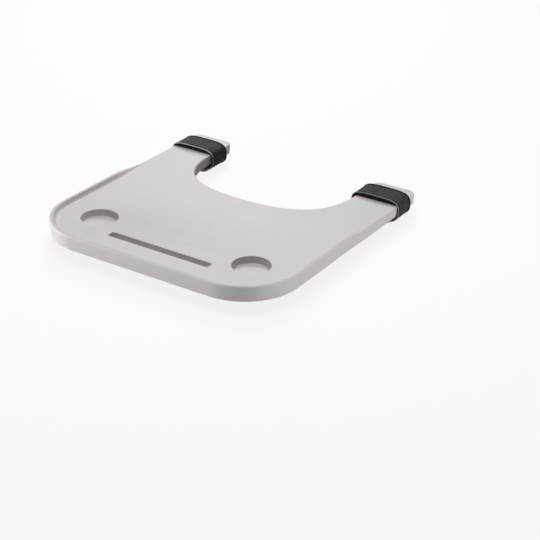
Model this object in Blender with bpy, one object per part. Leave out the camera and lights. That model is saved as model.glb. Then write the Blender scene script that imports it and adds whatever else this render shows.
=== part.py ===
"""Wheelchair lap tray.

A moulded plastic tray spans the two armrests of a wheelchair. Its open underside is ribbed. A raised
rim runs round the front and the sides and dies away where the two arms begin. Two round cup wells and
one long device slot are sunk into the deck, and a wide cut-out makes room for the sitter's body. Each
arm lies on its armrest with two grip pads between them, and a strap goes round both. The strap is a
bound band of webbing, closed below the armrest by a tail with a hook patch that peels off a loop patch.

Metres, +Z up, +Y towards the backrest, +X towards the sitter's left. Left and right are the sitter's.
The origin lies midway between the two straps, at the height where the pads rest on the armrests.
"""

import math

import bmesh
import bpy
from mathutils import Vector

# Outline of the tray, seen from above
TRAY_WIDTH = 0.600
TRAY_DEPTH = 0.6215  # front edge to the end of the arms
CORNER_RADIUS = 0.129
APRON_DEPTH = 0.370  # front edge to the bottom of the body cut-out
CUTOUT_WIDTH = 0.3895
ARM_STRAIGHT = 0.0955  # straight inner side that the strap needs
ARM_END_RADIUS = 0.020
CUTOUT_BOTTOM_SHARE = 0.615  # how far the flat bottom pulls the cut-out's curve, of its half width
CUTOUT_SIDE_SHARE = 0.765  # how far the straight side pulls it, of the curve's depth

# Section of the moulding
SHELL_DEPTH = 0.0247  # deck surface to lower edge
WALL = 0.003
EDGE_RADIUS = 0.0045
LOWER_CHAMFER = 0.0008
ARM_DRAFT = 0.001  # lean of the sides along the arms
APRON_DRAFT = 0.002  # further lean where the rim stands

# Rim
RIM_HEIGHT = 0.010
RIM_LAND = 0.003  # flat top between its two roundings
RIM_INNER_RADIUS = 0.002
RIM_WALL_RUN = 0.0025  # lean of the inner wall
RIM_FOOT_RUN = 0.006  # soft foot of the inner wall, along the deck
RIM_FOOT_RISE = 0.0035  # and up the wall
RIM_FADE_START = 0.295  # from the front edge
RIM_FADE_LENGTH = 0.115
RIM_LINE = 0.0004  # spacing of the rim's lines once it has died away

# Cup wells
CUP_SPACING = 0.387
CUP_SETBACK = 0.120  # from the front edge
CUP_RADIUS = 0.040
CUP_DRAFT = 0.0025  # how much smaller the well is at its floor
CUP_DEPTH = 0.015
CUP_FLOOR_RADIUS = 0.003
CUP_LIP = 0.0012

# Device slot
SLOT_SETBACK = 0.072
SLOT_LENGTH = 0.252
SLOT_WIDTH = 0.0185
SLOT_DEPTH = 0.015
SLOT_END_RADIUS = 0.005
SLOT_DRAFT = 0.0008
SLOT_LIP = 0.0010

# Ribs of the underside
RIB_PITCH = 0.052
RIB_THICKNESS = 0.0022
RIB_MARGIN = 0.006  # least pocket left beside a wall

# Grip pads under the arms
PAD_LENGTH = 0.070
PAD_SIDE_SETBACK = 0.022625  # from the arm's sides
PAD_THICKNESS = 0.002
PAD_CORNER = 0.008
PAD_CORNER_SHARE = 0.25  # of a narrow pad's width, at most
PAD_SPACING = 0.115  # front pad to rear pad
PAD_END_SETBACK = 0.012  # rear pad to the arm's end
SOFT_SHARE = 0.33  # of a pad's thickness or the slot's lip that its softened edge takes

# Straps
STRAP_STATION = 0.0675  # middle of the strap to the arm's end
STRAP_WIDTH = 0.056
STRAP_RISE = 0.0084  # crown of the loop above the deck
ARMREST_SPACE = 0.0152  # what the loop takes in below the pads
STRAP_LEAN = -0.002  # how far the loop's middle lies outwards of the arm's middle
STRAP_TOP_BOW = 4.0  # exponent of the loop's upper half: 2 is an ellipse, more is squarer
STRAP_BOTTOM_BOW = 2.6  # and of its lower half
BAND_THICKNESS = 0.0022
TAPE_THICKNESS = 0.0005
TAPE_COVER = 0.0055  # how far the edge binding reaches over each face of the band
PATCH_THICKNESS = 0.0007
LAP_START = 0.017  # start of the band below the armrest, outwards from the loop's middle
HINGE_PLACE = 0.024  # root of the tail
TAPE_SETBACK = 0.0015  # from the end of the edge bindings to the root of the tail
RAMP_PLACE = 0.040  # where the band begins to step down over its own start
TAIL_END = -0.034
TAIL_ROUND = 0.008
TAIL_ROUND_SHARE = 0.7  # how much of a quarter circle its corners keep
LOOP_PATCH_END = -0.044
PATCH_MARGIN = 0.003

GAP = 0.0003  # between neighbouring pieces
OVERRUN = 0.004  # how far a cutter passes the face that it opens

# Fineness of the curves
CORNER_STEPS = 14
FADE_STEPS = 12
END_STEPS = 5
CUTOUT_STEPS = 22
EDGE_STEPS = 3
CUP_STEPS = 48
SLOT_END_STEPS = 4
PAD_CORNER_STEPS = 4
STRAP_STEP = math.radians(6.5)
SHARP_ANGLE = math.radians(35.0)  # edges that turn more than this are shaded sharp

# Places that follow from the sizes
HALF_WIDTH = TRAY_WIDTH / 2
HALF_CUTOUT = CUTOUT_WIDTH / 2
ARM_WIDTH = HALF_WIDTH - HALF_CUTOUT
ARM_MIDDLE = HALF_CUTOUT + ARM_WIDTH / 2
PAD_WIDTH = ARM_WIDTH - 2 * PAD_SIDE_SETBACK
PAD_TURN = min(PAD_CORNER, PAD_CORNER_SHARE * PAD_WIDTH)
STRAP_MIDDLE = ARM_MIDDLE + STRAP_LEAN
ARM_END_Y = STRAP_STATION
FRONT_Y = ARM_END_Y - TRAY_DEPTH
CUTOUT_Y = FRONT_Y + APRON_DEPTH
STRAIGHT_Y = ARM_END_Y - ARM_STRAIGHT
CUP_Y = FRONT_Y + CUP_SETBACK
SLOT_Y = FRONT_Y + SLOT_SETBACK
LOWER_Z = PAD_THICKNESS + GAP
DECK_Z = LOWER_Z + SHELL_DEPTH

PLASTIC = ("tray_plastic", (0.62, 0.59, 0.59, 1.0), 0.55)
RUBBER = ("pad_rubber", (0.03, 0.03, 0.03, 1.0), 0.9)
WEBBING = ("strap_webbing", (0.02, 0.02, 0.022, 1.0), 0.8)
TAPE = ("binding_tape", (0.035, 0.035, 0.037, 1.0), 0.6)
LOOP_PILE = ("loop_pile", (0.015, 0.015, 0.016, 1.0), 0.95)
HOOK_TAPE = ("hook_tape", (0.025, 0.025, 0.027, 1.0), 0.5)


def clear_scene():
    for item in list(bpy.data.objects):
        bpy.data.objects.remove(item, do_unlink=True)


def material(name, color, roughness):
    """One Principled material per finish, made once and shared by the pieces that have it."""
    found = bpy.data.materials.get(name)
    if found:
        return found
    made = bpy.data.materials.new(name)
    made.use_nodes = True
    shader = made.node_tree.nodes["Principled BSDF"]
    shader.inputs["Base Color"].default_value = color
    shader.inputs["Roughness"].default_value = roughness
    shader.inputs["Metallic"].default_value = 0.0
    made.diffuse_color = color
    return made


def empty(name, place, parent=None):
    """A pivot or a runner: pieces parented to it move about its place."""
    made = bpy.data.objects.new(name, None)
    made.empty_display_size = STRAP_WIDTH
    bpy.context.collection.objects.link(made)
    made.location = place - (parent.location if parent else Vector())
    made.parent = parent
    return made


def finish(name, bm, look, place=None, holder=None):
    """Turns a bmesh in world space into an object whose origin is at place, held by an empty if any."""
    place = place or Vector()
    bmesh.ops.recalc_face_normals(bm, faces=bm.faces)
    bmesh.ops.translate(bm, vec=-place, verts=bm.verts)
    mesh = bpy.data.meshes.new(name)
    bm.to_mesh(mesh)
    bm.free()
    mesh.materials.append(material(*look))
    made = bpy.data.objects.new(name, mesh)
    bpy.context.collection.objects.link(made)
    made.location = place
    if holder:
        made.parent = holder
        made.location = Vector()
    mesh.shade_smooth()
    mesh.set_sharp_from_angle(angle=SHARP_ANGLE)
    return made


def loft(bm, rings):
    """Joins closed rings of points, one after the other, and caps the first and the last."""
    rows = [[bm.verts.new(point) for point in ring] for ring in rings]
    for lower, upper in zip(rows, rows[1:]):
        for i in range(len(lower)):
            j = (i + 1) % len(lower)
            bm.faces.new((lower[i], lower[j], upper[j], upper[i]))
    bm.faces.new(list(reversed(rows[0])))
    bm.faces.new(rows[-1])


def box(bm, low, high):
    """A box between two corners."""
    rings = []
    for z in (low.z, high.z):
        corners = ((low.x, low.y), (high.x, low.y), (high.x, high.y), (low.x, high.y))
        rings.append([Vector((x, y, z)) for x, y in corners])
    loft(bm, rings)


def smooth_step(share):
    """Eases from 0 to 1 with level ends."""
    share = min(max(share, 0.0), 1.0)
    return share * share * (3.0 - 2.0 * share)


def arc(center, radius, start, stop, steps):
    """Points of an arc with their outward normals."""
    found = []
    for i in range(steps + 1):
        angle = math.radians(start + (stop - start) * i / steps)
        normal = Vector((math.cos(angle), math.sin(angle)))
        found.append((center + normal * radius, normal))
    return found


def cutout_curve():
    """The cut-out's edge from an arm's straight inner side to the middle of its bottom."""
    turn = STRAIGHT_Y - CUTOUT_Y
    p0 = Vector((HALF_CUTOUT, STRAIGHT_Y))
    p1 = Vector((HALF_CUTOUT, STRAIGHT_Y - CUTOUT_SIDE_SHARE * turn))
    p2 = Vector((CUTOUT_BOTTOM_SHARE * HALF_CUTOUT, CUTOUT_Y))
    p3 = Vector((0.0, CUTOUT_Y))
    found = []
    for i in range(CUTOUT_STEPS + 1):
        t = i / CUTOUT_STEPS
        s = 1.0 - t
        point = s**3 * p0 + 3 * s * s * t * p1 + 3 * s * t * t * p2 + t**3 * p3
        ahead = s * s * (p1 - p0) + 2 * s * t * (p2 - p1) + t * t * (p3 - p2)
        found.append((point, Vector((ahead.y, -ahead.x)).normalized()))
    return found


def outline():
    """Stations round the tray, front middle first and towards the sitter's left.

    Each is a point, its outward normal and the share of the rim that stands there.
    """
    right = Vector((1.0, 0.0))
    fade_start = FRONT_Y + RIM_FADE_START
    half = [(Vector((0.0, FRONT_Y)), Vector((0.0, -1.0)), 1.0)]
    corner = Vector((HALF_WIDTH - CORNER_RADIUS, FRONT_Y + CORNER_RADIUS))
    half += [(p, n, 1.0) for p, n in arc(corner, CORNER_RADIUS, -90.0, 0.0, CORNER_STEPS)]
    for i in range(FADE_STEPS + 1):
        share = i / FADE_STEPS
        point = Vector((HALF_WIDTH, fade_start + share * RIM_FADE_LENGTH))
        half.append((point, right, 1.0 - smooth_step(share)))
    end_y = ARM_END_Y - ARM_END_RADIUS
    outer_end = Vector((HALF_WIDTH - ARM_END_RADIUS, end_y))
    inner_end = Vector((HALF_CUTOUT + ARM_END_RADIUS, end_y))
    half += [(p, n, 0.0) for p, n in arc(outer_end, ARM_END_RADIUS, 0.0, 90.0, END_STEPS)]
    half += [(p, n, 0.0) for p, n in arc(inner_end, ARM_END_RADIUS, 90.0, 180.0, END_STEPS)]
    half += [(p, n, 0.0) for p, n in cutout_curve()]
    other = []
    for point, normal, rim in reversed(half[1:-1]):
        other.append((Vector((-point.x, point.y)), Vector((-normal.x, normal.y)), rim))
    return half + other


def rim_inner_side():
    """Inset and height of the full rim's inner side, from its top to the deck."""
    lean = math.atan2(RIM_WALL_RUN, RIM_HEIGHT - RIM_INNER_RADIUS - RIM_FOOT_RISE)
    start = EDGE_RADIUS + RIM_LAND
    found = []
    for i in range(EDGE_STEPS + 1):
        angle = i / EDGE_STEPS * (math.pi / 2 - lean)
        drop = RIM_INNER_RADIUS * (1.0 - math.cos(angle))
        found.append((start + RIM_INNER_RADIUS * math.sin(angle), RIM_HEIGHT - drop))
    foot = found[-1][0] + RIM_WALL_RUN
    for i in range(EDGE_STEPS + 1):
        share = i / EDGE_STEPS
        found.append((foot + share * RIM_FOOT_RUN, RIM_FOOT_RISE * (1.0 - share) ** 2))
    return found


def outer_section(rim):
    """Insets and heights round the outside of the moulding where this share of the rim stands."""
    draft = ARM_DRAFT + rim * APRON_DRAFT
    top = DECK_Z + rim * RIM_HEIGHT
    found = [(draft + LOWER_CHAMFER, LOWER_Z), (draft, LOWER_Z + LOWER_CHAMFER)]
    for i in range(EDGE_STEPS + 1):
        angle = i / EDGE_STEPS * math.pi / 2
        inset = EDGE_RADIUS * (1.0 - math.cos(angle))
        found.append((inset, top - EDGE_RADIUS * (1.0 - math.sin(angle))))
    for line, (inset, height) in enumerate(rim_inner_side(), 1):
        run = EDGE_RADIUS + rim * (inset - EDGE_RADIUS) + line * (1.0 - rim) * RIM_LINE
        found.append((run, DECK_Z + rim * height))
    return found


def hollow_section(rim):
    """Insets and heights of the hollow under the deck and inside the rim, one wall in from the outside."""
    draft = ARM_DRAFT + rim * APRON_DRAFT
    top = DECK_Z + rim * RIM_HEIGHT - WALL
    land = EDGE_RADIUS + RIM_LAND + RIM_LINE
    foot = land + RIM_INNER_RADIUS + RIM_WALL_RUN + RIM_FOOT_RUN / 2
    return [
        (draft + WALL, LOWER_Z - OVERRUN),
        (WALL, top),
        (WALL + rim * (land - WALL) + RIM_LINE, top),
        (WALL + rim * (foot - WALL) + RIM_LINE + RIM_LINE, DECK_Z - WALL),
    ]


def swept_round(stations, section):
    """Rings of points that carry a section round the tray's outline."""
    sections = [section(rim) for _, _, rim in stations]
    rings = []
    for level in range(len(sections[0])):
        ring = []
        for (point, normal, _), profile in zip(stations, sections):
            inset, height = profile[level]
            spot = point - normal * inset
            ring.append(Vector((spot.x, spot.y, height)))
        rings.append(ring)
    return rings


def cutter(name, bm):
    """A body that only shapes another piece."""
    made = finish(name, bm, PLASTIC)
    made.hide_render = True
    made.display_type = "WIRE"
    return made


def cut(target, tool):
    """Takes one body out of another."""
    change = target.modifiers.new(tool.name, "BOOLEAN")
    change.operation = "DIFFERENCE"
    change.solver = "EXACT"
    change.object = tool


def turned(bm, center, profile, steps):
    """Lofts a turned profile of radius and height, lowest first, about a vertical line."""
    rings = []
    for radius, height in profile:
        ring = []
        for i in range(steps):
            angle = math.tau * i / steps
            across = Vector((math.cos(angle), math.sin(angle), 0.0)) * radius
            ring.append(center + across + Vector((0.0, 0.0, height)))
        rings.append(ring)
    loft(bm, rings)


def cup_hollow(bm, center):
    """The space inside one cup well, with its floor rounding and its soft lip."""
    floor_radius = CUP_RADIUS - CUP_DRAFT
    profile = []
    for i in range(EDGE_STEPS + 1):
        angle = i / EDGE_STEPS * math.pi / 2
        inset = CUP_FLOOR_RADIUS * (1.0 - math.sin(angle))
        profile.append((floor_radius - inset, -CUP_DEPTH + CUP_FLOOR_RADIUS * (1.0 - math.cos(angle))))
    for i in range(EDGE_STEPS + 1):
        angle = i / EDGE_STEPS * math.pi / 2
        drop = CUP_LIP * (1.0 - math.sin(angle))
        profile.append((CUP_RADIUS + CUP_LIP * (1.0 - math.cos(angle)), -drop))
    profile.append((CUP_RADIUS + CUP_LIP, OVERRUN))
    turned(bm, center, profile, CUP_STEPS)


def cup_casing(bm, center):
    """The outside of one cup well, below the deck."""
    floor = -CUP_DEPTH - WALL
    profile = [
        (CUP_RADIUS - CUP_DRAFT + WALL - LOWER_CHAMFER, floor),
        (CUP_RADIUS - CUP_DRAFT + WALL, floor + LOWER_CHAMFER),
        (CUP_RADIUS + WALL, OVERRUN),
    ]
    turned(bm, center, profile, CUP_STEPS)


def rounded_bar(length, width, radius, steps):
    """Points round a bar with rounded corners, about its middle."""
    across = Vector((length / 2 - radius, width / 2 - radius))
    found = []
    for turn, (sx, sy) in enumerate(((1, 1), (-1, 1), (-1, -1), (1, -1))):
        start = 90.0 * turn
        center = Vector((sx * across.x, sy * across.y))
        found += [p for p, _ in arc(center, radius, start, start + 90.0, steps)]
    return found


def bar_loft(bm, center, levels, steps):
    """Lofts rounded bars; each level is length, width, corner radius and height."""
    rings = []
    for length, width, radius, height in levels:
        ring = rounded_bar(length, width, radius, steps)
        rings.append([center + Vector((p.x, p.y, height)) for p in ring])
    loft(bm, rings)


def slot_level(grow, height):
    """One level of the slot, wider than its mouth by grow on every side."""
    return (SLOT_LENGTH + 2 * grow, SLOT_WIDTH + 2 * grow, SLOT_END_RADIUS + grow, height)


def slot_hollow(bm, center):
    """The space inside the device slot, with a softened lip."""
    levels = [
        slot_level(-SLOT_DRAFT, -SLOT_DEPTH),
        slot_level(0.0, -SLOT_LIP),
        slot_level(SLOT_LIP * SOFT_SHARE, -SLOT_LIP * SOFT_SHARE),
        slot_level(SLOT_LIP, 0.0),
        slot_level(SLOT_LIP, OVERRUN),
    ]
    bar_loft(bm, center, levels, SLOT_END_STEPS)


def slot_casing(bm, center):
    """The outside of the slot's channel, below the deck."""
    levels = [slot_level(WALL, -SLOT_DEPTH - WALL), slot_level(WALL, OVERRUN)]
    bar_loft(bm, center, levels, SLOT_END_STEPS)


def rib_lines(anchor, low, high):
    """Places of ribs half a pitch off an anchor, with at least a margin beside the walls."""
    first = math.ceil((low + WALL + RIB_MARGIN - anchor) / RIB_PITCH - 0.5)
    last = math.floor((high - WALL - RIB_MARGIN - anchor) / RIB_PITCH - 0.5)
    return [anchor + (k + 0.5) * RIB_PITCH for k in range(first, last + 1)]


def ribs(along_y):
    """A row of rib slabs that divides the hollow one way."""
    bm = bmesh.new()
    reach = max(TRAY_WIDTH, TRAY_DEPTH)
    low_z = LOWER_Z - OVERRUN - OVERRUN
    high_z = DECK_Z + RIM_HEIGHT + OVERRUN
    half = RIB_THICKNESS / 2
    if along_y:
        for x in rib_lines(0.0, -HALF_WIDTH, HALF_WIDTH):
            low = Vector((x - half, FRONT_Y - reach, low_z))
            box(bm, low, Vector((x + half, FRONT_Y + reach, high_z)))
    else:
        for y in rib_lines(CUTOUT_Y - WALL, FRONT_Y, ARM_END_Y):
            box(bm, Vector((-reach, y - half, low_z)), Vector((reach, y + half, high_z)))
    return bm


def tray_shell():
    """The moulding: its outside is lofted round the outline, then hollowed from below round the ribs."""
    stations = outline()
    outside = bmesh.new()
    loft(outside, swept_round(stations, outer_section))
    shell = finish("tray_shell", outside, PLASTIC)

    hollow = bmesh.new()
    loft(hollow, swept_round(stations, hollow_section))
    hollow = cutter("underside_hollow", hollow)
    cut(hollow, cutter("ribs_along", ribs(True)))
    cut(hollow, cutter("ribs_across", ribs(False)))

    casings = bmesh.new()
    mouths = bmesh.new()
    for side in (-1, 1):
        center = Vector((side * CUP_SPACING / 2, CUP_Y, DECK_Z))
        cup_casing(casings, center)
        cup_hollow(mouths, center)
    slot_center = Vector((0.0, SLOT_Y, DECK_Z))
    slot_casing(casings, slot_center)
    slot_hollow(mouths, slot_center)
    cut(hollow, cutter("well_casings", casings))

    cut(shell, hollow)
    cut(shell, cutter("well_mouths", mouths))
    return shell


def grip_pad(name, center):
    """A rubber pad stuck under an arm, with slightly rounded lower edges."""
    bm = bmesh.new()
    soft = PAD_THICKNESS * SOFT_SHARE
    levels = [
        (PAD_WIDTH - 2 * soft, PAD_LENGTH - 2 * soft, PAD_TURN - soft, 0.0),
        (PAD_WIDTH, PAD_LENGTH, PAD_TURN, soft),
        (PAD_WIDTH, PAD_LENGTH, PAD_TURN, PAD_THICKNESS),
    ]
    bar_loft(bm, center, levels, PAD_CORNER_STEPS)
    return finish(name, bm, RUBBER)


def grip_pads(word, side):
    rear_y = ARM_END_Y - PAD_END_SETBACK - PAD_LENGTH / 2
    for place, y in (("rear", rear_y), ("front", rear_y - PAD_SPACING)):
        grip_pad(f"{word}_{place}_grip_pad", Vector((side * ARM_MIDDLE, y, 0.0)))


# The strap's loop is a bowed curve, squarer above than below. It clears the arm's nearer
# rounded edge by the gap, so its width follows from its height.
LOOP_HALF_HEIGHT = (STRAP_RISE + DECK_Z + ARMREST_SPACE) / 2
LOOP_MIDDLE_Z = DECK_Z + STRAP_RISE - LOOP_HALF_HEIGHT
FULL_TURN = math.tau
DIAGONAL = math.sqrt(0.5)
EDGE_REACH = (EDGE_RADIUS + GAP) * DIAGONAL - EDGE_RADIUS
EDGE_U = ARM_WIDTH / 2 + abs(STRAP_LEAN) + EDGE_REACH
EDGE_V = DECK_Z + EDGE_REACH - LOOP_MIDDLE_Z
EDGE_FALL = 1.0 - (EDGE_V / LOOP_HALF_HEIGHT) ** STRAP_TOP_BOW
LOOP_HALF_WIDTH = EDGE_U / EDGE_FALL ** (1.0 / STRAP_TOP_BOW)

# Layers of the strap, as distances out from that curve
BAND_IN = TAPE_THICKNESS + GAP
BAND_OUT = BAND_IN + BAND_THICKNESS
TAPE_OUT = BAND_OUT + GAP + TAPE_THICKNESS
LOOP_IN = BAND_OUT + GAP
LOOP_OUT = LOOP_IN + PATCH_THICKNESS
HOOK_IN = LOOP_OUT + GAP
HOOK_OUT = HOOK_IN + PATCH_THICKNESS
LAP_STEP = HOOK_OUT + GAP - BAND_IN  # how far the tail runs outside the band's start
BAND_HALF = STRAP_WIDTH / 2 - TAPE_THICKNESS - GAP
PATCH_HALF = STRAP_WIDTH / 2 - TAPE_COVER - GAP


def below(u):
    """Angle on the lower run of the loop, a full turn on, at this place across the loop."""
    share = (abs(u) / LOOP_HALF_WIDTH) ** (STRAP_BOTTOM_BOW / 2)
    straight_down = -math.pi / 2 - FULL_TURN
    return straight_down + math.copysign(math.asin(min(share, 1.0)), u)


def on_loop(angle, out):
    """A point from the loop's middle, outwards and up, this far out from the loop's curve."""
    c = math.cos(angle)
    s = math.sin(angle)
    bow = STRAP_TOP_BOW if s > 0.0 else STRAP_BOTTOM_BOW
    u = math.copysign(abs(c) ** (2 / bow), c)
    v = math.copysign(abs(s) ** (2 / bow), s)
    normal = Vector((
        math.copysign(abs(u) ** (bow - 1), u) / LOOP_HALF_WIDTH,
        math.copysign(abs(v) ** (bow - 1), v) / LOOP_HALF_HEIGHT,
    ))
    return Vector((u * LOOP_HALF_WIDTH, v * LOOP_HALF_HEIGHT)) + normal.normalized() * out


def lap(angle):
    """How far the strap has stepped out to pass under its own start."""
    ramp = below(RAMP_PLACE)
    return LAP_STEP * smooth_step((ramp - angle) / (ramp - below(HINGE_PLACE)))


def angles(start, stop):
    """Angles from start down to stop, evenly spaced."""
    count = max(2, math.ceil((start - stop) / STRAP_STEP))
    return [start + (stop - start) * i / count for i in range(count + 1)]


def strap_sweep(bm, side, turns, section):
    """Carries a section, made of places along Y and distances out, along the loop."""
    rings = []
    for angle, stepped in turns:
        ring = []
        for y, out in section(angle):
            spot = on_loop(angle, out + stepped)
            ring.append(Vector((side * (STRAP_MIDDLE + spot.x), y, LOOP_MIDDLE_Z + spot.y)))
        rings.append(ring)
    loft(bm, rings)


def flat_section(half, inner, outer):
    """A flat layer of the strap."""
    return [(-half, inner), (half, inner), (half, outer), (-half, outer)]


def binding_section(end):
    """Tape folded over the front (-1) or rear (1) edge of the band."""
    edge = STRAP_WIDTH / 2
    cover = edge - TAPE_COVER
    fold = edge - TAPE_THICKNESS
    points = [
        (cover, 0.0),
        (fold, 0.0),
        (edge, TAPE_THICKNESS),
        (edge, TAPE_OUT - TAPE_THICKNESS),
        (fold, TAPE_OUT),
        (cover, TAPE_OUT),
        (cover, TAPE_OUT - TAPE_THICKNESS),
        (fold, TAPE_OUT - TAPE_THICKNESS),
        (fold, TAPE_THICKNESS),
        (cover, TAPE_THICKNESS),
    ]
    return [(end * y, out) for y, out in points]


def band_turns(end_place):
    """A run along the band: from its start below the armrest, round the arm, and down the step."""
    start = below(LAP_START) + FULL_TURN
    ramp = below(RAMP_PLACE)
    run = angles(start, ramp) + angles(ramp, below(end_place))[1:]
    return [(angle, lap(angle)) for angle in run]


def tail_half(angle):
    """Half the tail's width, drawn in round its free end."""
    end = on_loop(below(TAIL_END), 0.0).x
    left = on_loop(angle, 0.0).x - end
    short = max(0.0, 1.0 - left / TAIL_ROUND)
    return BAND_HALF - TAIL_ROUND * (1.0 - math.sqrt(1.0 - TAIL_ROUND_SHARE * short**2))


def hinge_line(side):
    """A point on the tail's hinge line: the outer face of its root, where the webbing bends."""
    spot = on_loop(below(HINGE_PLACE), BAND_OUT + LAP_STEP)
    return Vector((side * (STRAP_MIDDLE + spot.x), 0.0, LOOP_MIDDLE_Z + spot.y))


def strap(word, side):
    """One strap: band, two edge bindings and loop patch, and the tail with its hook patch."""
    runner = empty(f"{word}_strap_runner", Vector((side * STRAP_MIDDLE, 0.0, DECK_Z)))
    pivot = empty(f"{word}_tail_pivot", hinge_line(side), runner)

    def piece(name, look, turns, section, holder):
        bm = bmesh.new()
        strap_sweep(bm, side, turns, section)
        place = runner.location.copy()
        if holder is pivot:
            place += pivot.location
        return finish(f"{word}_{name}", bm, look, place, holder)

    band = band_turns(HINGE_PLACE)
    bound = band_turns(HINGE_PLACE + TAPE_SETBACK)
    piece("strap_band", WEBBING, band, lambda _: flat_section(BAND_HALF, BAND_IN, BAND_OUT), runner)
    piece("strap_front_binding", TAPE, bound, lambda _: binding_section(-1), runner)
    piece("strap_rear_binding", TAPE, bound, lambda _: binding_section(1), runner)

    start = below(LAP_START - PATCH_MARGIN) + FULL_TURN
    pile = [(angle, 0.0) for angle in angles(start, below(LOOP_PATCH_END) + FULL_TURN)]
    piece("loop_patch", LOOP_PILE, pile, lambda _: flat_section(PATCH_HALF, LOOP_IN, LOOP_OUT), runner)

    root = below(HINGE_PLACE - GAP)
    round_start = below(TAIL_END + TAIL_ROUND)
    run = angles(root, round_start) + angles(round_start, below(TAIL_END))[1:]
    tail = [(angle, LAP_STEP) for angle in run]
    piece("strap_tail", WEBBING, tail, lambda a: flat_section(tail_half(a), BAND_IN, BAND_OUT), pivot)
    hooks = angles(below(LAP_START - PATCH_MARGIN), below(TAIL_END + TAIL_ROUND / 2))
    hooks = [(angle, 0.0) for angle in hooks]
    piece("hook_patch", HOOK_TAPE, hooks, lambda _: flat_section(PATCH_HALF, HOOK_IN, HOOK_OUT), pivot)


def main():
    clear_scene()
    tray_shell()
    for word, side in (("left", 1), ("right", -1)):
        grip_pads(word, side)
        strap(word, side)


main()
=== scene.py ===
# %% [markdown]
# # A wheelchair lap tray
#
# The frame that this script loads holds the tray as plain solids, with its joints and its mounts.
# Here each piece gets the surface that it has in the hand: the satin moulding, the ribbed webbing,
# the stitched tape, the hooks and the loops. Sizes are in metres. Up is +Z, the backrest is towards
# +Y, and +X is the sitter's left.

# %% Load the frame
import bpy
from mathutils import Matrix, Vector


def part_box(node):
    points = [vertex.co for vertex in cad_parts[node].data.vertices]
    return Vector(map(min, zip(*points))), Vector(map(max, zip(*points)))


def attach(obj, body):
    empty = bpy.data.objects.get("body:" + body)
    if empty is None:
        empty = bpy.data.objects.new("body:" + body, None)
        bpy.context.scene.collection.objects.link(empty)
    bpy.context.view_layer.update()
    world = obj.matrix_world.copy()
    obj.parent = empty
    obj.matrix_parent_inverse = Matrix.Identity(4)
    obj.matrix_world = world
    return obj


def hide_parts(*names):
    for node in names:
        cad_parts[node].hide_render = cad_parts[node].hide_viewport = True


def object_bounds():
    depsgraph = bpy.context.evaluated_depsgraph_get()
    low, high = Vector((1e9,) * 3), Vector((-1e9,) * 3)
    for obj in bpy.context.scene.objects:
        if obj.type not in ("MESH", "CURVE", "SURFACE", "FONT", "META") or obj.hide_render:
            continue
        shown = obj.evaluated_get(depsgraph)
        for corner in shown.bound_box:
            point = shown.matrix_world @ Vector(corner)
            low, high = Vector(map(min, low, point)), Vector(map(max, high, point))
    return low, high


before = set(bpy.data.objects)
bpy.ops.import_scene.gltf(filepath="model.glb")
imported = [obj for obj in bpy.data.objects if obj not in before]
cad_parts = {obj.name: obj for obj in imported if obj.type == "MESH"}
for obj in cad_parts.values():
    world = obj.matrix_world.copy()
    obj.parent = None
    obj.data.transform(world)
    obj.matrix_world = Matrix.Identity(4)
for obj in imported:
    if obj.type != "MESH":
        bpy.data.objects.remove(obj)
SOLID_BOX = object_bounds()

# %% Modules
import math

import bmesh
import bpy
from mathutils import Matrix, Vector

# %% [markdown]
# ## The picture
#
# A photograph is matched best by the lens and the place of the camera that took it. These values
# come from the picture's own circles and straight edges: round wells that show as ovals say how
# steeply the camera looks down, and the way in which the sides draw together says how far off it is.

# %% Camera
PICTURE_SIDE = 540
FOCAL_LENGTH_PIXELS = 1395.75
SENSOR_MM = 36.0
CAMERA_PLACE = Vector((1.55263, -2.47853, 1.30823))
CAMERA_AZIMUTH = math.radians(32.754)
CAMERA_ELEVATION = math.radians(27.746)
CAMERA_ROLL = math.radians(0.851)
CLIP_NEAR = 0.05
CLIP_FAR = 60.0


def put(name, data):
    """Makes an object of this data in the scene."""
    made = bpy.data.objects.new(name, data)
    bpy.context.scene.collection.objects.link(made)
    return made


def make_camera():
    """A camera that looks the way the photograph was taken."""
    data = bpy.data.cameras.new("camera")
    data.sensor_width = SENSOR_MM
    data.lens = FOCAL_LENGTH_PIXELS / PICTURE_SIDE * SENSOR_MM
    data.clip_start = CLIP_NEAR
    data.clip_end = CLIP_FAR
    camera = put("camera", data)
    a, e = CAMERA_AZIMUTH, CAMERA_ELEVATION
    back = Vector((math.sin(a) * math.cos(e), -math.cos(a) * math.cos(e), math.sin(e)))
    level = Vector((math.cos(a), math.sin(a), 0.0))
    rise = back.cross(level)
    right = level * math.cos(CAMERA_ROLL) + rise * math.sin(CAMERA_ROLL)
    up = back.cross(right)
    turn = Matrix((right, up, back)).transposed()
    camera.matrix_world = Matrix.Translation(CAMERA_PLACE) @ turn.to_4x4()
    bpy.context.scene.camera = camera
    return camera


camera = make_camera()
bpy.context.scene.view_settings.view_transform = "Standard"
print("lens:", round(camera.data.lens, 2), "mm")

# %% [markdown]
# ## Node helpers
#
# Every material and every Geometry Nodes tree below is made of the same three moves: add a node, set
# its values, join two sockets. Short helpers keep those moves readable.


# %% Helpers for node trees
def add(tree, kind, *inputs, **named):
    """Adds a node and returns its outputs.

    Values without a name feed the inputs in order. A name with a capital is an input, with an
    underscore for each space, and any other name is a setting.
    """
    node = tree.nodes.new(kind)
    places = dict(enumerate(inputs))
    for name, value in named.items():
        if name[0].islower():
            setattr(node, name, value)
        else:
            places[name.replace("_", " ")] = value
    for place, source in places.items():
        if source is not None:
            feed(tree, node.inputs[place], source)
    return node.outputs


def feed(tree, target, source):
    """Joins an output to an input, or writes a plain value on the input."""
    if isinstance(source, bpy.types.NodeSocket):
        tree.links.new(source, target)
    else:
        target.default_value = source


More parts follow.
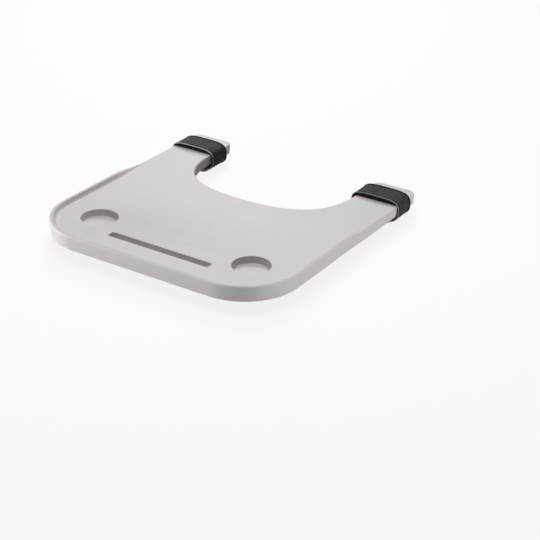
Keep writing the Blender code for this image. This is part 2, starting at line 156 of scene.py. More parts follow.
def reckon(tree, operation, *sources):
    """The result of a Math node on sockets and numbers."""
    return add(tree, "ShaderNodeMath", *sources, operation=operation)[0]


def times(tree, first, *others):
    """The product of sockets and numbers."""
    for other in others:
        first = reckon(tree, "MULTIPLY", first, other)
    return first


def between(tree, factor, low, high):
    """Mixes two colours by a factor. A Mix node has them behind five inputs for other kinds."""
    return add(tree, "ShaderNodeMix", factor, *[None] * 5, low, high, data_type="RGBA")[2]


def spread(tree, *values):
    """Maps a value from a low and high to a new low and high, and clamps it."""
    return add(tree, "ShaderNodeMapRange", *values)[0]


def mask(tree, value, span):
    """A mask that is 0 below a span of values and 1 above it."""
    return spread(tree, value, *span, 0.0, 1.0)


def socket(tree, way, kind, label, value=None):
    """Gives a tree an input or an output, with a starting value."""
    made = tree.interface.new_socket(label.replace("_", " "), in_out=way, socket_type="NodeSocket" + kind)
    if value is not None:
        made.default_value = value


# %% [markdown]
# ## Shared effects
#
# Moulded plastic, webbing and tape all have fine grain and a little unevenness from handling. Each
# effect is a node group, built once. A group gives masks, heights and plain values, and each material
# decides what they do to its colour, its gloss and its relief.


# %% Start a shader node group
def new_group(name, outputs, **inputs):
    """An empty group with float inputs that have starting values, and float outputs."""
    tree = bpy.data.node_groups.new(name, "ShaderNodeTree")
    for label, value in inputs.items():
        socket(tree, "INPUT", "Float", label, value)
    for label in outputs:
        socket(tree, "OUTPUT", "Float", label)
    return tree, add(tree, "NodeGroupInput"), tree.nodes.new("NodeGroupOutput").inputs


def noise(tree, scale, detail, stretch=None):
    """Fractal noise on the piece's own coordinates, centred on one half."""
    place = add(tree, "ShaderNodeTexCoord")["Object"]
    if stretch:
        place = add(tree, "ShaderNodeMapping", Vector=place, Scale=stretch)[0]
    return add(tree, "ShaderNodeTexNoise", Vector=place, Scale=scale, Detail=detail)["Fac"]


# %% Fine grain
PIT_SMOOTHNESS = 0.6


def grain_group():
    """Spark-eroded mould texture: tiny rounded pits over a very shallow waviness."""
    tree, given, wanted = new_group(
        "mould_grain", ("Height", "Tone"), Pits_per_metre=1400.0, Waves_per_metre=22.0, Wave_share=0.08
    )
    place = add(tree, "ShaderNodeTexCoord")["Object"]
    cells = {"Vector": place, "Scale": given["Pits per metre"], "Smoothness": PIT_SMOOTHNESS}
    pits = add(tree, "ShaderNodeTexVoronoi", feature="SMOOTH_F1", **cells)
    waves = noise(tree, given["Waves per metre"], detail=3.0)
    swell = times(tree, waves, given["Wave share"])
    feed(tree, wanted["Height"], reckon(tree, "ADD", pits["Distance"], swell))
    feed(tree, wanted["Tone"], waves)
    return tree


# %% Handling marks
SMUDGE_SPAN = (0.42, 0.72)
SCUFF_SPAN = (0.66, 0.72)
SCUFFED_SPAN = (0.52, 0.62)
SCUFF_STRETCH = (0.15, 1.0, 1.0)


def handling_group():
    """Soft smudges where hands and cups have been, and short faint scuffs."""
    tree, given, wanted = new_group(
        "handling_marks", ("Smudge", "Scuff"), Smudges_per_metre=9.0, Scuffs_per_metre=60.0
    )
    cloud = noise(tree, given["Smudges per metre"], detail=4.0)
    feed(tree, wanted["Smudge"], mask(tree, cloud, SMUDGE_SPAN))
    streak = noise(tree, given["Scuffs per metre"], detail=2.0, stretch=SCUFF_STRETCH)
    patch = noise(tree, given["Smudges per metre"], detail=1.0)
    scuffs = times(tree, mask(tree, streak, SCUFF_SPAN), mask(tree, patch, SCUFFED_SPAN))
    feed(tree, wanted["Scuff"], scuffs)
    return tree


# %% Lint
LINT_SPAN = (0.70, 0.78)
LINT_STRETCH = (1.0, 0.35, 1.0)


def lint_group():
    """Specks and short pale fibres that dark cloth picks up."""
    tree, given, wanted = new_group("lint", ("Mask",), Specks_per_metre=900.0)
    cells = noise(tree, given["Specks per metre"], detail=2.0, stretch=LINT_STRETCH)
    feed(tree, wanted["Mask"], mask(tree, cells, LINT_SPAN))
    return tree


GRAIN = grain_group()
HANDLING = handling_group()
LINT = lint_group()
print("effects:", [tree.name for tree in (GRAIN, HANDLING, LINT)])


# %% Start a material
def principled(name, **values):
    """A material, its tree and its shader's inputs, whose uniform values sit on the inputs themselves."""
    material = bpy.data.materials.new(name)
    material.use_nodes = True
    surface = material.node_tree.nodes["Principled BSDF"].inputs
    for label, value in values.items():
        surface[label.replace("_", " ")].default_value = value
    return material, material.node_tree, surface


def place_group(tree, group, **values):
    """Puts a shared effect in a material with its own values."""
    return add(tree, "ShaderNodeGroup", node_tree=group, **values)


def relief(tree, surface, height, distance, strength):
    """Feeds the shader's normal from a Bump node."""
    bump = add(tree, "ShaderNodeBump", Height=height, Distance=distance, Strength=strength)
    feed(tree, surface["Normal"], bump[0])


def tint(red, green, blue):
    """A colour as a picture shows it, 0 to 255, turned to the linear values that shaders use."""
    linear = []
    for part in (red, green, blue):
        share = part / 255
        linear.append(share / 12.92 if share <= 0.04045 else ((share + 0.055) / 1.055) ** 2.4)
    return (*linear, 1.0)


# %% [markdown]
# ## The moulding's finish
#
# The tray is injection moulded in a warm light grey ABS. The tool is spark eroded, which leaves a
# fine matte grain, so highlights are broad and soft. Hands leave slightly glossier patches, and cups
# and tablets leave faint scuffs. All of it is low in contrast: at arm's length the deck looks even.


# %% Tray plastic
PLASTIC_TONES = (tint(212, 206, 206), tint(216, 210, 210))
SMUDGE_TONE = tint(207, 200, 200)
SMUDGE_SHARE = 0.25
SCUFF_TONE = tint(224, 219, 219)
SCUFF_SHARE = 0.2
CLEAN_ROUGHNESS = 0.52
SMUDGED_ROUGHNESS = 0.50
SCUFF_ROUGHNESS = 0.12
GRAIN_DEPTH = 0.00006


def tray_plastic():
    material, tree, surface = principled("tray_plastic", Specular_IOR_Level=0.45)
    grain = place_group(tree, GRAIN)
    marks = place_group(tree, HANDLING)
    base = between(tree, grain["Tone"], *PLASTIC_TONES)
    smudged = between(tree, times(tree, marks["Smudge"], SMUDGE_SHARE), base, SMUDGE_TONE)
    scuffed = between(tree, times(tree, marks["Scuff"], SCUFF_SHARE), smudged, SCUFF_TONE)
    feed(tree, surface["Base Color"], scuffed)
    gloss = spread(tree, marks["Smudge"], 0.0, 1.0, CLEAN_ROUGHNESS, SMUDGED_ROUGHNESS)
    rough = reckon(tree, "ADD", gloss, times(tree, marks["Scuff"], SCUFF_ROUGHNESS))
    feed(tree, surface["Roughness"], rough)
    relief(tree, surface, grain["Height"], GRAIN_DEPTH, strength=0.5)
    return material


PLASTIC = tray_plastic()
print("made", PLASTIC.name)

# %% [markdown]
# ## The outline of the tray
#
# Seen from above, the tray is a wide board with two large round corners, a deep U for the body and
# two arms. One half is worked out as straight runs, arcs and one curve with handles, and the other
# half is its mirror image. Each station also knows its outward direction and how much of the rim
# stands there, because the rim dies away along the sides.

# %% Sizes of the moulding
shell_low, shell_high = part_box("tray_shell")
HALF_WIDTH = shell_high.x
FRONT_Y = shell_low.y
ARM_END_Y = shell_high.y
LOWER_Z = shell_low.z
RIM_HEIGHT = 0.010
DECK_Z = shell_high.z - RIM_HEIGHT
CORNER_RADIUS = 0.129
APRON_DEPTH = 0.370
HALF_CUTOUT = 0.19475
ARM_STRAIGHT = 0.0955
ARM_END_RADIUS = 0.020
CUTOUT_BOTTOM_SHARE = 0.615
CUTOUT_SIDE_SHARE = 0.765
RIM_FADE_START = 0.295
RIM_FADE_LENGTH = 0.115
CUTOUT_Y = FRONT_Y + APRON_DEPTH
STRAIGHT_Y = ARM_END_Y - ARM_STRAIGHT
ARM_MIDDLE = (HALF_WIDTH + HALF_CUTOUT) / 2
print("tray:", round(2 * HALF_WIDTH, 3), "wide,", round(ARM_END_Y - FRONT_Y, 3), "deep")


# %% Stations round the outline
def smooth_step(share):
    """Eases from 0 to 1 with level ends."""
    share = min(max(share, 0.0), 1.0)
    return share * share * (3.0 - 2.0 * share)


def arc(center, radius, start, stop, steps):
    """Points of an arc, angles in degrees, with their outward directions."""
    found = []
    for i in range(steps + 1):
        angle = math.radians(start + (stop - start) * i / steps)
        normal = Vector((math.cos(angle), math.sin(angle)))
        found.append((center + normal * radius, normal))
    return found


def cutout_curve(steps):
    """The U's edge from an arm's straight inner side to the middle of its bottom."""
    turn = STRAIGHT_Y - CUTOUT_Y
    p0 = Vector((HALF_CUTOUT, STRAIGHT_Y))
    p1 = Vector((HALF_CUTOUT, STRAIGHT_Y - CUTOUT_SIDE_SHARE * turn))
    p2 = Vector((CUTOUT_BOTTOM_SHARE * HALF_CUTOUT, CUTOUT_Y))
    p3 = Vector((0.0, CUTOUT_Y))
    found = []
    for i in range(steps + 1):
        t = i / steps
        s = 1.0 - t
        point = s**3 * p0 + 3 * s * s * t * p1 + 3 * s * t * t * p2 + t**3 * p3
        ahead = s * s * (p1 - p0) + 2 * s * t * (p2 - p1) + t * t * (p3 - p2)
        found.append((point, Vector((ahead.y, -ahead.x)).normalized()))
    return found


def outline(corner_steps, fade_steps, end_steps, cutout_steps):
    """Stations round the tray: point, outward direction and share of the rim."""
    half = [(Vector((0.0, FRONT_Y)), Vector((0.0, -1.0)), 1.0)]
    corner = Vector((HALF_WIDTH - CORNER_RADIUS, FRONT_Y + CORNER_RADIUS))
    half += [(*at, 1.0) for at in arc(corner, CORNER_RADIUS, -90.0, 0.0, corner_steps)]
    for i in range(fade_steps + 1):
        share = i / fade_steps
        point = Vector((HALF_WIDTH, FRONT_Y + RIM_FADE_START + share * RIM_FADE_LENGTH))
        half.append((point, Vector((1.0, 0.0)), 1.0 - smooth_step(share)))
    for x, start in ((HALF_WIDTH - ARM_END_RADIUS, 0.0), (HALF_CUTOUT + ARM_END_RADIUS, 90.0)):
        center = Vector((x, ARM_END_Y - ARM_END_RADIUS))
        half += [(*at, 0.0) for at in arc(center, ARM_END_RADIUS, start, start + 90.0, end_steps)]
    half += [(*at, 0.0) for at in cutout_curve(cutout_steps)]
    flip = Vector((-1.0, 1.0))
    return half + [(point * flip, normal * flip, rim) for point, normal, rim in half[-2:0:-1]]


STATIONS = outline(corner_steps=48, fade_steps=40, end_steps=12, cutout_steps=64)
print("stations:", len(STATIONS))

# %% [markdown]
# ## The section of the moulding
#
# At each station the section climbs the outside with a slight draft, so that the part leaves its
# mould, goes over a 4.5 mm rounding, across the land of the rim, round a small inner rounding, down the
# leaning inner wall and out along a soft foot to the deck. Where the rim has died away, the same
# points close up into a plain rounded edge. The hollow below is the same idea, one wall further in.

# %% Section sizes
WALL = 0.003
EDGE_RADIUS = 0.0045
LOWER_CHAMFER = 0.0008
ARM_DRAFT = 0.001
APRON_DRAFT = 0.002
RIM_LAND = 0.003
RIM_INNER_RADIUS = 0.002
RIM_WALL_RUN = 0.0025
RIM_FOOT_RUN = 0.006
RIM_FOOT_RISE = 0.0035
RIM_LINE = 0.0002
OVERRUN = 0.004
ROUND_STEPS = 8


# %% Sections
def quarter(steps):
    """Cosine and sine of the angles of a quarter turn."""
    turns = [i / steps * math.pi / 2 for i in range(steps + 1)]
    return [(math.cos(angle), math.sin(angle)) for angle in turns]


def rim_inner_side():
    """Inset and height of the full rim's inner side, from its top to the deck."""
    lean = math.atan2(RIM_WALL_RUN, RIM_HEIGHT - RIM_INNER_RADIUS - RIM_FOOT_RISE)
    start = EDGE_RADIUS + RIM_LAND
    found = []
    for i in range(ROUND_STEPS + 1):
        angle = i / ROUND_STEPS * (math.pi / 2 - lean)
        drop = RIM_INNER_RADIUS * (1.0 - math.cos(angle))
        found.append((start + RIM_INNER_RADIUS * math.sin(angle), RIM_HEIGHT - drop))
    foot = found[-1][0] + RIM_WALL_RUN
    for i in range(ROUND_STEPS + 1):
        share = i / ROUND_STEPS
        found.append((foot + share * RIM_FOOT_RUN, RIM_FOOT_RISE * (1.0 - share) ** 2))
    return found


RIM_SIDE = rim_inner_side()


def outer_section(rim):
    """Insets and heights round the outside where this share of the rim stands."""
    draft = ARM_DRAFT + rim * APRON_DRAFT
    top = DECK_Z + rim * RIM_HEIGHT
    found = [(draft + LOWER_CHAMFER, LOWER_Z), (draft, LOWER_Z + LOWER_CHAMFER)]
    for c, s in quarter(ROUND_STEPS):
        found.append((EDGE_RADIUS * (1.0 - c), top - EDGE_RADIUS * (1.0 - s)))
    for line, (inset, height) in enumerate(RIM_SIDE, 1):
        run = EDGE_RADIUS + rim * (inset - EDGE_RADIUS) + line * (1.0 - rim) * RIM_LINE
        found.append((run, DECK_Z + rim * height))
    return found


def hollow_section(rim):
    """Insets and heights of the hollow under the deck and inside the rim."""
    draft = ARM_DRAFT + rim * APRON_DRAFT
    top = DECK_Z + rim * RIM_HEIGHT - WALL
    land = EDGE_RADIUS + RIM_LAND + RIM_LINE
    foot = land + RIM_INNER_RADIUS + RIM_WALL_RUN + RIM_FOOT_RUN / 2
    return [
        (draft + WALL, LOWER_Z - OVERRUN),
        (WALL, top),
        (WALL + rim * (land - WALL) + RIM_LINE, top),
        (WALL + rim * (foot - WALL) + RIM_LINE + RIM_LINE, DECK_Z - WALL),
    ]


print("rim side points:", len(RIM_SIDE))


# %% Mesh helpers
def loft(bm, rings):
    """Joins closed rings of points, one after the other, and caps the first and the last."""
    rows = [[bm.verts.new(point) for point in ring] for ring in rings]
    for lower, upper in zip(rows, rows[1:]):
        for i in range(len(lower)):
            j = (i + 1) % len(lower)
            bm.faces.new((lower[i], lower[j], upper[j], upper[i]))
    bm.faces.new(list(reversed(rows[0])))
    bm.faces.new(rows[-1])


def swept_round(stations, section):
    """Rings that carry a section round the outline."""
    rings = []
    for level in zip(*(section(rim) for _, _, rim in stations)):
        ring = []
        for (point, normal, _), (inset, height) in zip(stations, level):
            ring.append(Vector((*(point - normal * inset), height)))
        rings.append(ring)
    return rings


SHARP_ANGLE = math.radians(35.0)


def smooth(piece):
    """Shades a mesh smooth, with its sharp edges kept."""
    piece.data.shade_smooth()
    piece.data.set_sharp_from_angle(angle=SHARP_ANGLE)


def keep(name, bm, material=None):
    """Turns a bmesh into an object at the origin, with faces outwards and smooth shading."""
    bmesh.ops.recalc_face_normals(bm, faces=bm.faces)
    mesh = bpy.data.meshes.new(name)
    bm.to_mesh(mesh)
    bm.free()
    if material:
        mesh.materials.append(material)
    made = put(name, mesh)
    smooth(made)
    return made


# %% [markdown]
# ## Cup wells and slot
#
# Both are sunk 15 mm: deep enough to hold a cup's foot or a tablet's edge, shallow enough to wipe
# out. Each is a mouth that cuts the deck and a casing that hangs below it. The mouths have a small
# lip at the deck and the wells a rounding at their floor, as a mould needs.

# %% Well and slot sizes
CUP_SPACING = 0.387
CUP_Y = FRONT_Y + 0.120
CUP_RADIUS = 0.040
CUP_DRAFT = 0.0025
WELL_DEPTH = 0.015
CUP_FLOOR_RADIUS = 0.003
CUP_LIP = 0.0012
CUP_STEPS = 128
SLOT_Y = FRONT_Y + 0.072
SLOT_LENGTH = 0.252
SLOT_WIDTH = 0.0185
SLOT_END_RADIUS = 0.005
SLOT_DRAFT = 0.0008
SLOT_LIP = 0.0010
SLOT_END_STEPS = 10
LIP_STEPS = 5


# %% Mouths and casings
def turned(bm, center, profile):
    """Lofts a turned profile of radius and height about a vertical line."""
    rings = []
    for radius, height in profile:
        ring = []
        for i in range(CUP_STEPS):
            angle = math.tau * i / CUP_STEPS
            across = Vector((math.cos(angle), math.sin(angle), 0.0)) * radius
            ring.append(center + across + Vector((0.0, 0.0, height)))
        rings.append(ring)
    loft(bm, rings)


def cup_mouth(bm, center):
    floor = CUP_RADIUS - CUP_DRAFT
    profile = []
    for c, s in quarter(LIP_STEPS):
        inset = CUP_FLOOR_RADIUS * (1.0 - s)
        profile.append((floor - inset, CUP_FLOOR_RADIUS * (1.0 - c) - WELL_DEPTH))
    for c, s in quarter(LIP_STEPS):
        profile.append((CUP_RADIUS + CUP_LIP * (1.0 - c), CUP_LIP * (s - 1.0)))
    profile.append((CUP_RADIUS + CUP_LIP, OVERRUN))
    turned(bm, center, profile)


def cup_casing(bm, center):
    floor = -WELL_DEPTH - WALL
    outer = CUP_RADIUS - CUP_DRAFT + WALL
    profile = [
        (outer - LOWER_CHAMFER, floor),
        (outer, floor + LOWER_CHAMFER),
        (CUP_RADIUS + WALL, OVERRUN),
    ]
    turned(bm, center, profile)


def rounded_bar(length, width, radius, steps):
    """Points round a bar with rounded corners, about its middle."""
    across = Vector((length / 2 - radius, width / 2 - radius))
    found = []
    for turn, (sx, sy) in enumerate(((1, 1), (-1, 1), (-1, -1), (1, -1))):
        start = 90.0 * turn
        center = Vector((sx * across.x, sy * across.y))
        found += [p for p, _ in arc(center, radius, start, start + 90.0, steps)]
    return found


def bar_loft(bm, center, levels, steps):
    """Lofts rounded bars; each level is length, width, corner radius and height."""
    rings = []
    for length, width, radius, height in levels:
        ring = rounded_bar(length, width, radius, steps)
        rings.append([center + Vector((p.x, p.y, height)) for p in ring])
    loft(bm, rings)


def slot_level(grow, height):
    return (SLOT_LENGTH + 2 * grow, SLOT_WIDTH + 2 * grow, SLOT_END_RADIUS + grow, height)


def slot_mouth(bm, center):
    levels = [slot_level(-SLOT_DRAFT, -WELL_DEPTH)]
    for c, s in quarter(LIP_STEPS):
        levels.append(slot_level(SLOT_LIP * (1.0 - c), SLOT_LIP * (s - 1.0)))
    levels.append(slot_level(SLOT_LIP, OVERRUN))
    bar_loft(bm, center, levels, SLOT_END_STEPS)


def slot_casing(bm, center):
    levels = [slot_level(WALL, -WELL_DEPTH - WALL), slot_level(WALL, OVERRUN)]
    bar_loft(bm, center, levels, SLOT_END_STEPS)


# %% [markdown]
# ## Ribs by Geometry Nodes
#
# A board this wide would drum and bend if it were only 3 mm thick, so its underside has a grid of
# ribs. A row of ribs is one slab repeated at a pitch, which is what a Geometry Nodes tree does well:
# a line of points, a slab on each, and all of it made real at the end. Sizes are named inputs, so the
# same tree makes both rows.


# %% Start and end a Geometry Nodes tree
KINDS = {float: "Float", int: "Int", tuple: "Vector"}
ORIGIN = (0.0, 0.0, 0.0)


def new_tree(name, **inputs):
    """A geometry tree whose inputs have names and starting values, and which takes a material."""
    tree = bpy.data.node_groups.new(name, "GeometryNodeTree")
    tree.is_modifier = True
    socket(tree, "INPUT", "Geometry", "Geometry")
    for label, value in inputs.items():
        socket(tree, "INPUT", KINDS[type(value)], label, value)
    socket(tree, "INPUT", "Material", "Material")
    socket(tree, "OUTPUT", "Geometry", "Geometry")
    return tree, add(tree, "NodeGroupInput"), tree.nodes.new("NodeGroupOutput").inputs["Geometry"]


def joined(tree, *parts):
    """Joins pieces of geometry."""
    join = tree.nodes.new("GeometryNodeJoinGeometry")
    for part in parts:
        tree.links.new(part, join.inputs[0])
    return join.outputs[0]


def close_tree(tree, given, wanted, whole):
    """Ends a tree: instances are made real, and all get their material."""
    real = add(tree, "GeometryNodeRealizeInstances", whole)[0]
    painted = add(tree, "GeometryNodeSetMaterial", Geometry=real, Material=given["Material"])
    tree.links.new(painted[0], wanted)
    return tree


def lay(tree, points, piece, **places):
    """Puts a piece on every point."""
    return add(tree, "GeometryNodeInstanceOnPoints", Points=points, Instance=piece, **places)[0]


def in_a_row(tree, given, step, piece):
    """Puts a piece on every point of a line, whose start and number of points the tree is given."""
    first, count = given["First"], given["Count"]
    line = add(tree, "GeometryNodeMeshLine", Count=count, Start_Location=first, Offset=step, mode="OFFSET")
    return lay(tree, line[0], piece)


def settle(made, change):
    """Takes what a modifier has made as a plain mesh, and removes the modifier."""
    graph = bpy.context.evaluated_depsgraph_get()
    plain = bpy.data.meshes.new_from_object(made.evaluated_get(graph))
    made.modifiers.remove(change)
    made.data = plain


def grow(name, tree, values, source=None):
    """Runs a tree on a source mesh or on nothing, and returns the result as a plain mesh object."""
    made = source or put(name, bpy.data.meshes.new(name))
    change = made.modifiers.new(tree.name, "NODES")
    change.node_group = tree
    for item in tree.interface.items_tree:
        if item.item_type == "SOCKET" and item.in_out == "INPUT" and item.name in values:
            change[item.identifier] = values[item.name]
    settle(made, change)
    made.data.name = name
    return made


# %% Rib rows
RIB_PITCH = 0.052
RIB_THICKNESS = 0.0022
RIB_MARGIN = 0.006


def rib_row_tree():
    """Slabs in a row: the first middle, the step to the next, how many, and each slab's size."""
    tree, given, wanted = new_tree("rib_row", First=ORIGIN, Step=ORIGIN, Count=1, Slab=ORIGIN)
    slab = add(tree, "GeometryNodeMeshCube", Size=given["Slab"])["Mesh"]
    return close_tree(tree, given, wanted, in_a_row(tree, given, given["Step"], slab))


def rib_range(anchor, low, high):
    """First rib and number of ribs, half a pitch off an anchor, clear of the walls."""
    first = math.ceil((low + WALL + RIB_MARGIN - anchor) / RIB_PITCH - 0.5)
    last = math.floor((high - WALL - RIB_MARGIN - anchor) / RIB_PITCH - 0.5)
    return anchor + (first + 0.5) * RIB_PITCH, last - first + 1


RIB_TREE = rib_row_tree()
RIB_HEIGHT = DECK_Z + RIM_HEIGHT - LOWER_Z + 4 * OVERRUN
RIB_MIDDLE_Z = (DECK_Z + RIM_HEIGHT + LOWER_Z) / 2
RIB_REACH = 2 * (ARM_END_Y - FRONT_Y)


def rib_row(name, along_y):
    """One row of slabs across the whole underside."""
    if along_y:
        first, count = rib_range(0.0, -HALF_WIDTH, HALF_WIDTH)
        start = (first, (FRONT_Y + ARM_END_Y) / 2, RIB_MIDDLE_Z)
        step = (RIB_PITCH, 0.0, 0.0)
        slab = (RIB_THICKNESS, RIB_REACH, RIB_HEIGHT)
    else:
        first, count = rib_range(CUTOUT_Y - WALL, FRONT_Y, ARM_END_Y)
        start = (0.0, first, RIB_MIDDLE_Z)
        step = (0.0, RIB_PITCH, 0.0)
        slab = (RIB_REACH, RIB_THICKNESS, RIB_HEIGHT)
    values = {"First": start, "Step": step, "Count": count, "Slab": slab, "Material": PLASTIC}
    row = grow(name, RIB_TREE, values)
    print(name, "has", count, "ribs")
    return row


# %% [markdown]
# ## The moulding
#
# The outside is lofted first. The hollow is lofted too, and the ribs and the casings of the wells are
# taken out of the hollow, so that they stay behind as plastic when the hollow is cut from the
# outside. Last, the mouths are cut through the deck. The exact solver keeps every edge where it is.


# %% Cut and keep
def cut(target, tool):
    """Takes one body out of another and discards the tool."""
    change = target.modifiers.new(tool.name, "BOOLEAN")
    change.operation = "DIFFERENCE"
    change.solver = "EXACT"
    change.object = tool
    settle(target, change)
    bpy.data.objects.remove(tool, do_unlink=True)


def tray_moulding():
    outside = bmesh.new()
    loft(outside, swept_round(STATIONS, outer_section))
    tray = keep("tray_moulding", outside, PLASTIC)
    hollow = bmesh.new()
    loft(hollow, swept_round(STATIONS, hollow_section))
    hollow = keep("underside_hollow", hollow)
    cut(hollow, rib_row("ribs_front_to_back", True))
    cut(hollow, rib_row("ribs_side_to_side", False))
    casings = bmesh.new()
    mouths = bmesh.new()
    for side in (-1, 1):
        center = Vector((side * CUP_SPACING / 2, CUP_Y, DECK_Z))
        cup_casing(casings, center)
        cup_mouth(mouths, center)
    slot_center = Vector((0.0, SLOT_Y, DECK_Z))
    slot_casing(casings, slot_center)
    slot_mouth(mouths, slot_center)
    cut(hollow, keep("well_casings", casings))
    cut(tray, hollow)
    cut(tray, keep("well_mouths", mouths))
    tray.data.name = tray.name
    tray.data.materials.clear()
    tray.data.materials.append(PLASTIC)
    tray.data.polygons.foreach_set("material_index", [0] * len(tray.data.polygons))
    smooth(tray)
    return tray


tray = tray_moulding()
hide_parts("tray_shell")
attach(tray, "tray")
print("moulding faces:", len(tray.data.polygons))

# %% [markdown]
# ## The loop of a strap
#
# Each strap goes round its arm and the armrest below in one flattened loop, squarer above, where it
# lies over the arm, than below. All its layers follow this one curve, each at its own distance out.
# Below the armrest the strap steps outwards and runs on over its own start as the tail.

# %% Strap sizes
SIDES = (("left", 1), ("right", -1))
STRAP_WIDTH = 0.056
STRAP_RISE = 0.0084
ARMREST_SPACE = 0.0152
STRAP_LEAN = -0.002
TOP_BOW = 4.0
BOTTOM_BOW = 2.6
SEAM_GAP = 0.0003
BAND_THICKNESS = 0.0022
TAPE_THICKNESS = 0.0005
TAPE_COVER = 0.0055
PATCH_THICKNESS = 0.0007
LAP_START = 0.017
HINGE_PLACE = 0.024
TAPE_SETBACK = 0.0015
RAMP_PLACE = 0.040
TAIL_END = -0.034
TAIL_ROUND = 0.008
TAIL_ROUND_SHARE = 0.7
LOOP_PATCH_END = -0.044
PATCH_MARGIN = 0.003
STRAP_MIDDLE = ARM_MIDDLE + STRAP_LEAN
LOOP_HALF_HEIGHT = (STRAP_RISE + DECK_Z + ARMREST_SPACE) / 2
LOOP_MIDDLE_Z = DECK_Z + STRAP_RISE - LOOP_HALF_HEIGHT
EDGE_REACH = (EDGE_RADIUS + SEAM_GAP) * math.sqrt(0.5) - EDGE_RADIUS
EDGE_U = (HALF_WIDTH - HALF_CUTOUT) / 2 + abs(STRAP_LEAN) + EDGE_REACH
EDGE_FALL = 1.0 - ((DECK_Z + EDGE_REACH - LOOP_MIDDLE_Z) / LOOP_HALF_HEIGHT) ** TOP_BOW
LOOP_HALF_WIDTH = EDGE_U / EDGE_FALL ** (1.0 / TOP_BOW)
BAND_IN = TAPE_THICKNESS + SEAM_GAP
BAND_OUT = BAND_IN + BAND_THICKNESS
TAPE_OUT = BAND_OUT + SEAM_GAP + TAPE_THICKNESS
LOOP_IN = BAND_OUT + SEAM_GAP
HOOK_OUT = LOOP_IN + PATCH_THICKNESS + SEAM_GAP + PATCH_THICKNESS
LAP_STEP = HOOK_OUT + SEAM_GAP - BAND_IN
BAND_HALF = STRAP_WIDTH / 2 - TAPE_THICKNESS - SEAM_GAP
PATCH_HALF = STRAP_WIDTH / 2 - TAPE_COVER - SEAM_GAP
DENSE = 3000
TINY = 1e-12
print("loop:", round(2 * LOOP_HALF_WIDTH, 4), "wide,", round(2 * LOOP_HALF_HEIGHT, 4), "high")


# %% Places along the strap
def below(u):
    """Angle on the lower run of the loop, a full turn on, at this place across the loop."""
    share = (abs(u) / LOOP_HALF_WIDTH) ** (BOTTOM_BOW / 2)
    return math.copysign(math.asin(min(share, 1.0)), u) - math.pi / 2 - math.tau


def on_loop(angle):
    """Point and outward direction of the loop at this angle, seen from the loop's middle."""
    c, s = math.cos(angle), math.sin(angle)
    bow = TOP_BOW if s > 0.0 else BOTTOM_BOW
    u = math.copysign(abs(c) ** (2 / bow), c)
    v = math.copysign(abs(s) ** (2 / bow), s)
    across = math.copysign(abs(u) ** (bow - 1), u) / LOOP_HALF_WIDTH
    rise = math.copysign(abs(v) ** (bow - 1), v) / LOOP_HALF_HEIGHT
    return Vector((u * LOOP_HALF_WIDTH, v * LOOP_HALF_HEIGHT)), Vector((across, rise)).normalized()


def lap(angle):
    """How far the strap has stepped out to pass under its own start."""
    ramp = below(RAMP_PLACE)
    return LAP_STEP * smooth_step((ramp - angle) / (ramp - below(HINGE_PLACE)))


def frames(start, stop, step_out, spacing):
    """Places at an even spacing along the strap: point, outward direction and length so far."""
    dense = []
    run = 0.0
    for i in range(DENSE + 1):
        angle = start + (stop - start) * i / DENSE
        point, normal = on_loop(angle)
        point = point + normal * step_out(angle)
        run += (point - dense[-1][0]).length if dense else 0.0
        dense.append((point, normal, run))
    count = max(2, round(run / spacing))
    found = []
    k = 0
    for i in range(count + 1):
        wanted = run * i / count
        while k < DENSE - 1 and dense[k + 1][2] < wanted:
            k += 1
        (p0, n0, r0), (p1, n1, r1) = dense[k], dense[k + 1]
        share = (wanted - r0) / max(r1 - r0, TINY)
        found.append((p0.lerp(p1, share), n0.lerp(n1, share).normalized(), wanted))
    return found


BAND_START = below(LAP_START) + math.tau
WEBBING_STEP = 0.00025
BAND_RUN = frames(BAND_START, below(HINGE_PLACE), lap, WEBBING_STEP)
TAIL_RUN = frames(below(HINGE_PLACE), below(TAIL_END), lambda _: LAP_STEP, WEBBING_STEP)
print("band length:", round(BAND_RUN[-1][2], 4), "tail length:", round(TAIL_RUN[-1][2], 4))


# %% Sweep a layer along the strap
def strap_place(side, spot, y):
    """The place in the tray's frame of a spot in the loop's own plane."""
    return Vector((side * (STRAP_MIDDLE + spot.x), y, LOOP_MIDDLE_Z + spot.y))


def strap_layer(name, side, run, section, material):
    """Lofts a section of places along Y and distances out, and notes where each point lies.

    The attributes and the UV map tell trees and materials how far along the strap a point is, how
    far across it, and whether it is on the outer face.
    """
    rings = []
    notes = {"along": [], "across": [], "outer": []}
    for point, normal, length in run:
        places = section(length)
        half = max(abs(y) for y, _ in places)
        middle = sum(out for _, out in places) / len(places)
        rings.append([strap_place(side, point + normal * out, y) for y, out in places])
        notes["along"] += [length] * len(places)
        notes["across"] += [y / half for y, _ in places]
        notes["outer"] += [float(out > middle) for _, out in places]
    bm = bmesh.new()
    loft(bm, rings)
    made = keep(name, bm, material)
    mesh = made.data
    for label, values in notes.items():
        mesh.attributes.new(label, "FLOAT", "POINT").data.foreach_set("value", values)
    flat = []
    for loop in mesh.loops:
        flat += (notes["along"][loop.vertex_index], mesh.vertices[loop.vertex_index].co.y)
    mesh.uv_layers.new(name="cloth").uv.foreach_set("vector", flat)
    return made


def hang(piece, body, node):
    """Fixes a piece to a body, in place of one solid, which it hides."""
    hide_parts(node)
    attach(piece, body)
    print(piece.name, "faces:", len(piece.data.polygons))
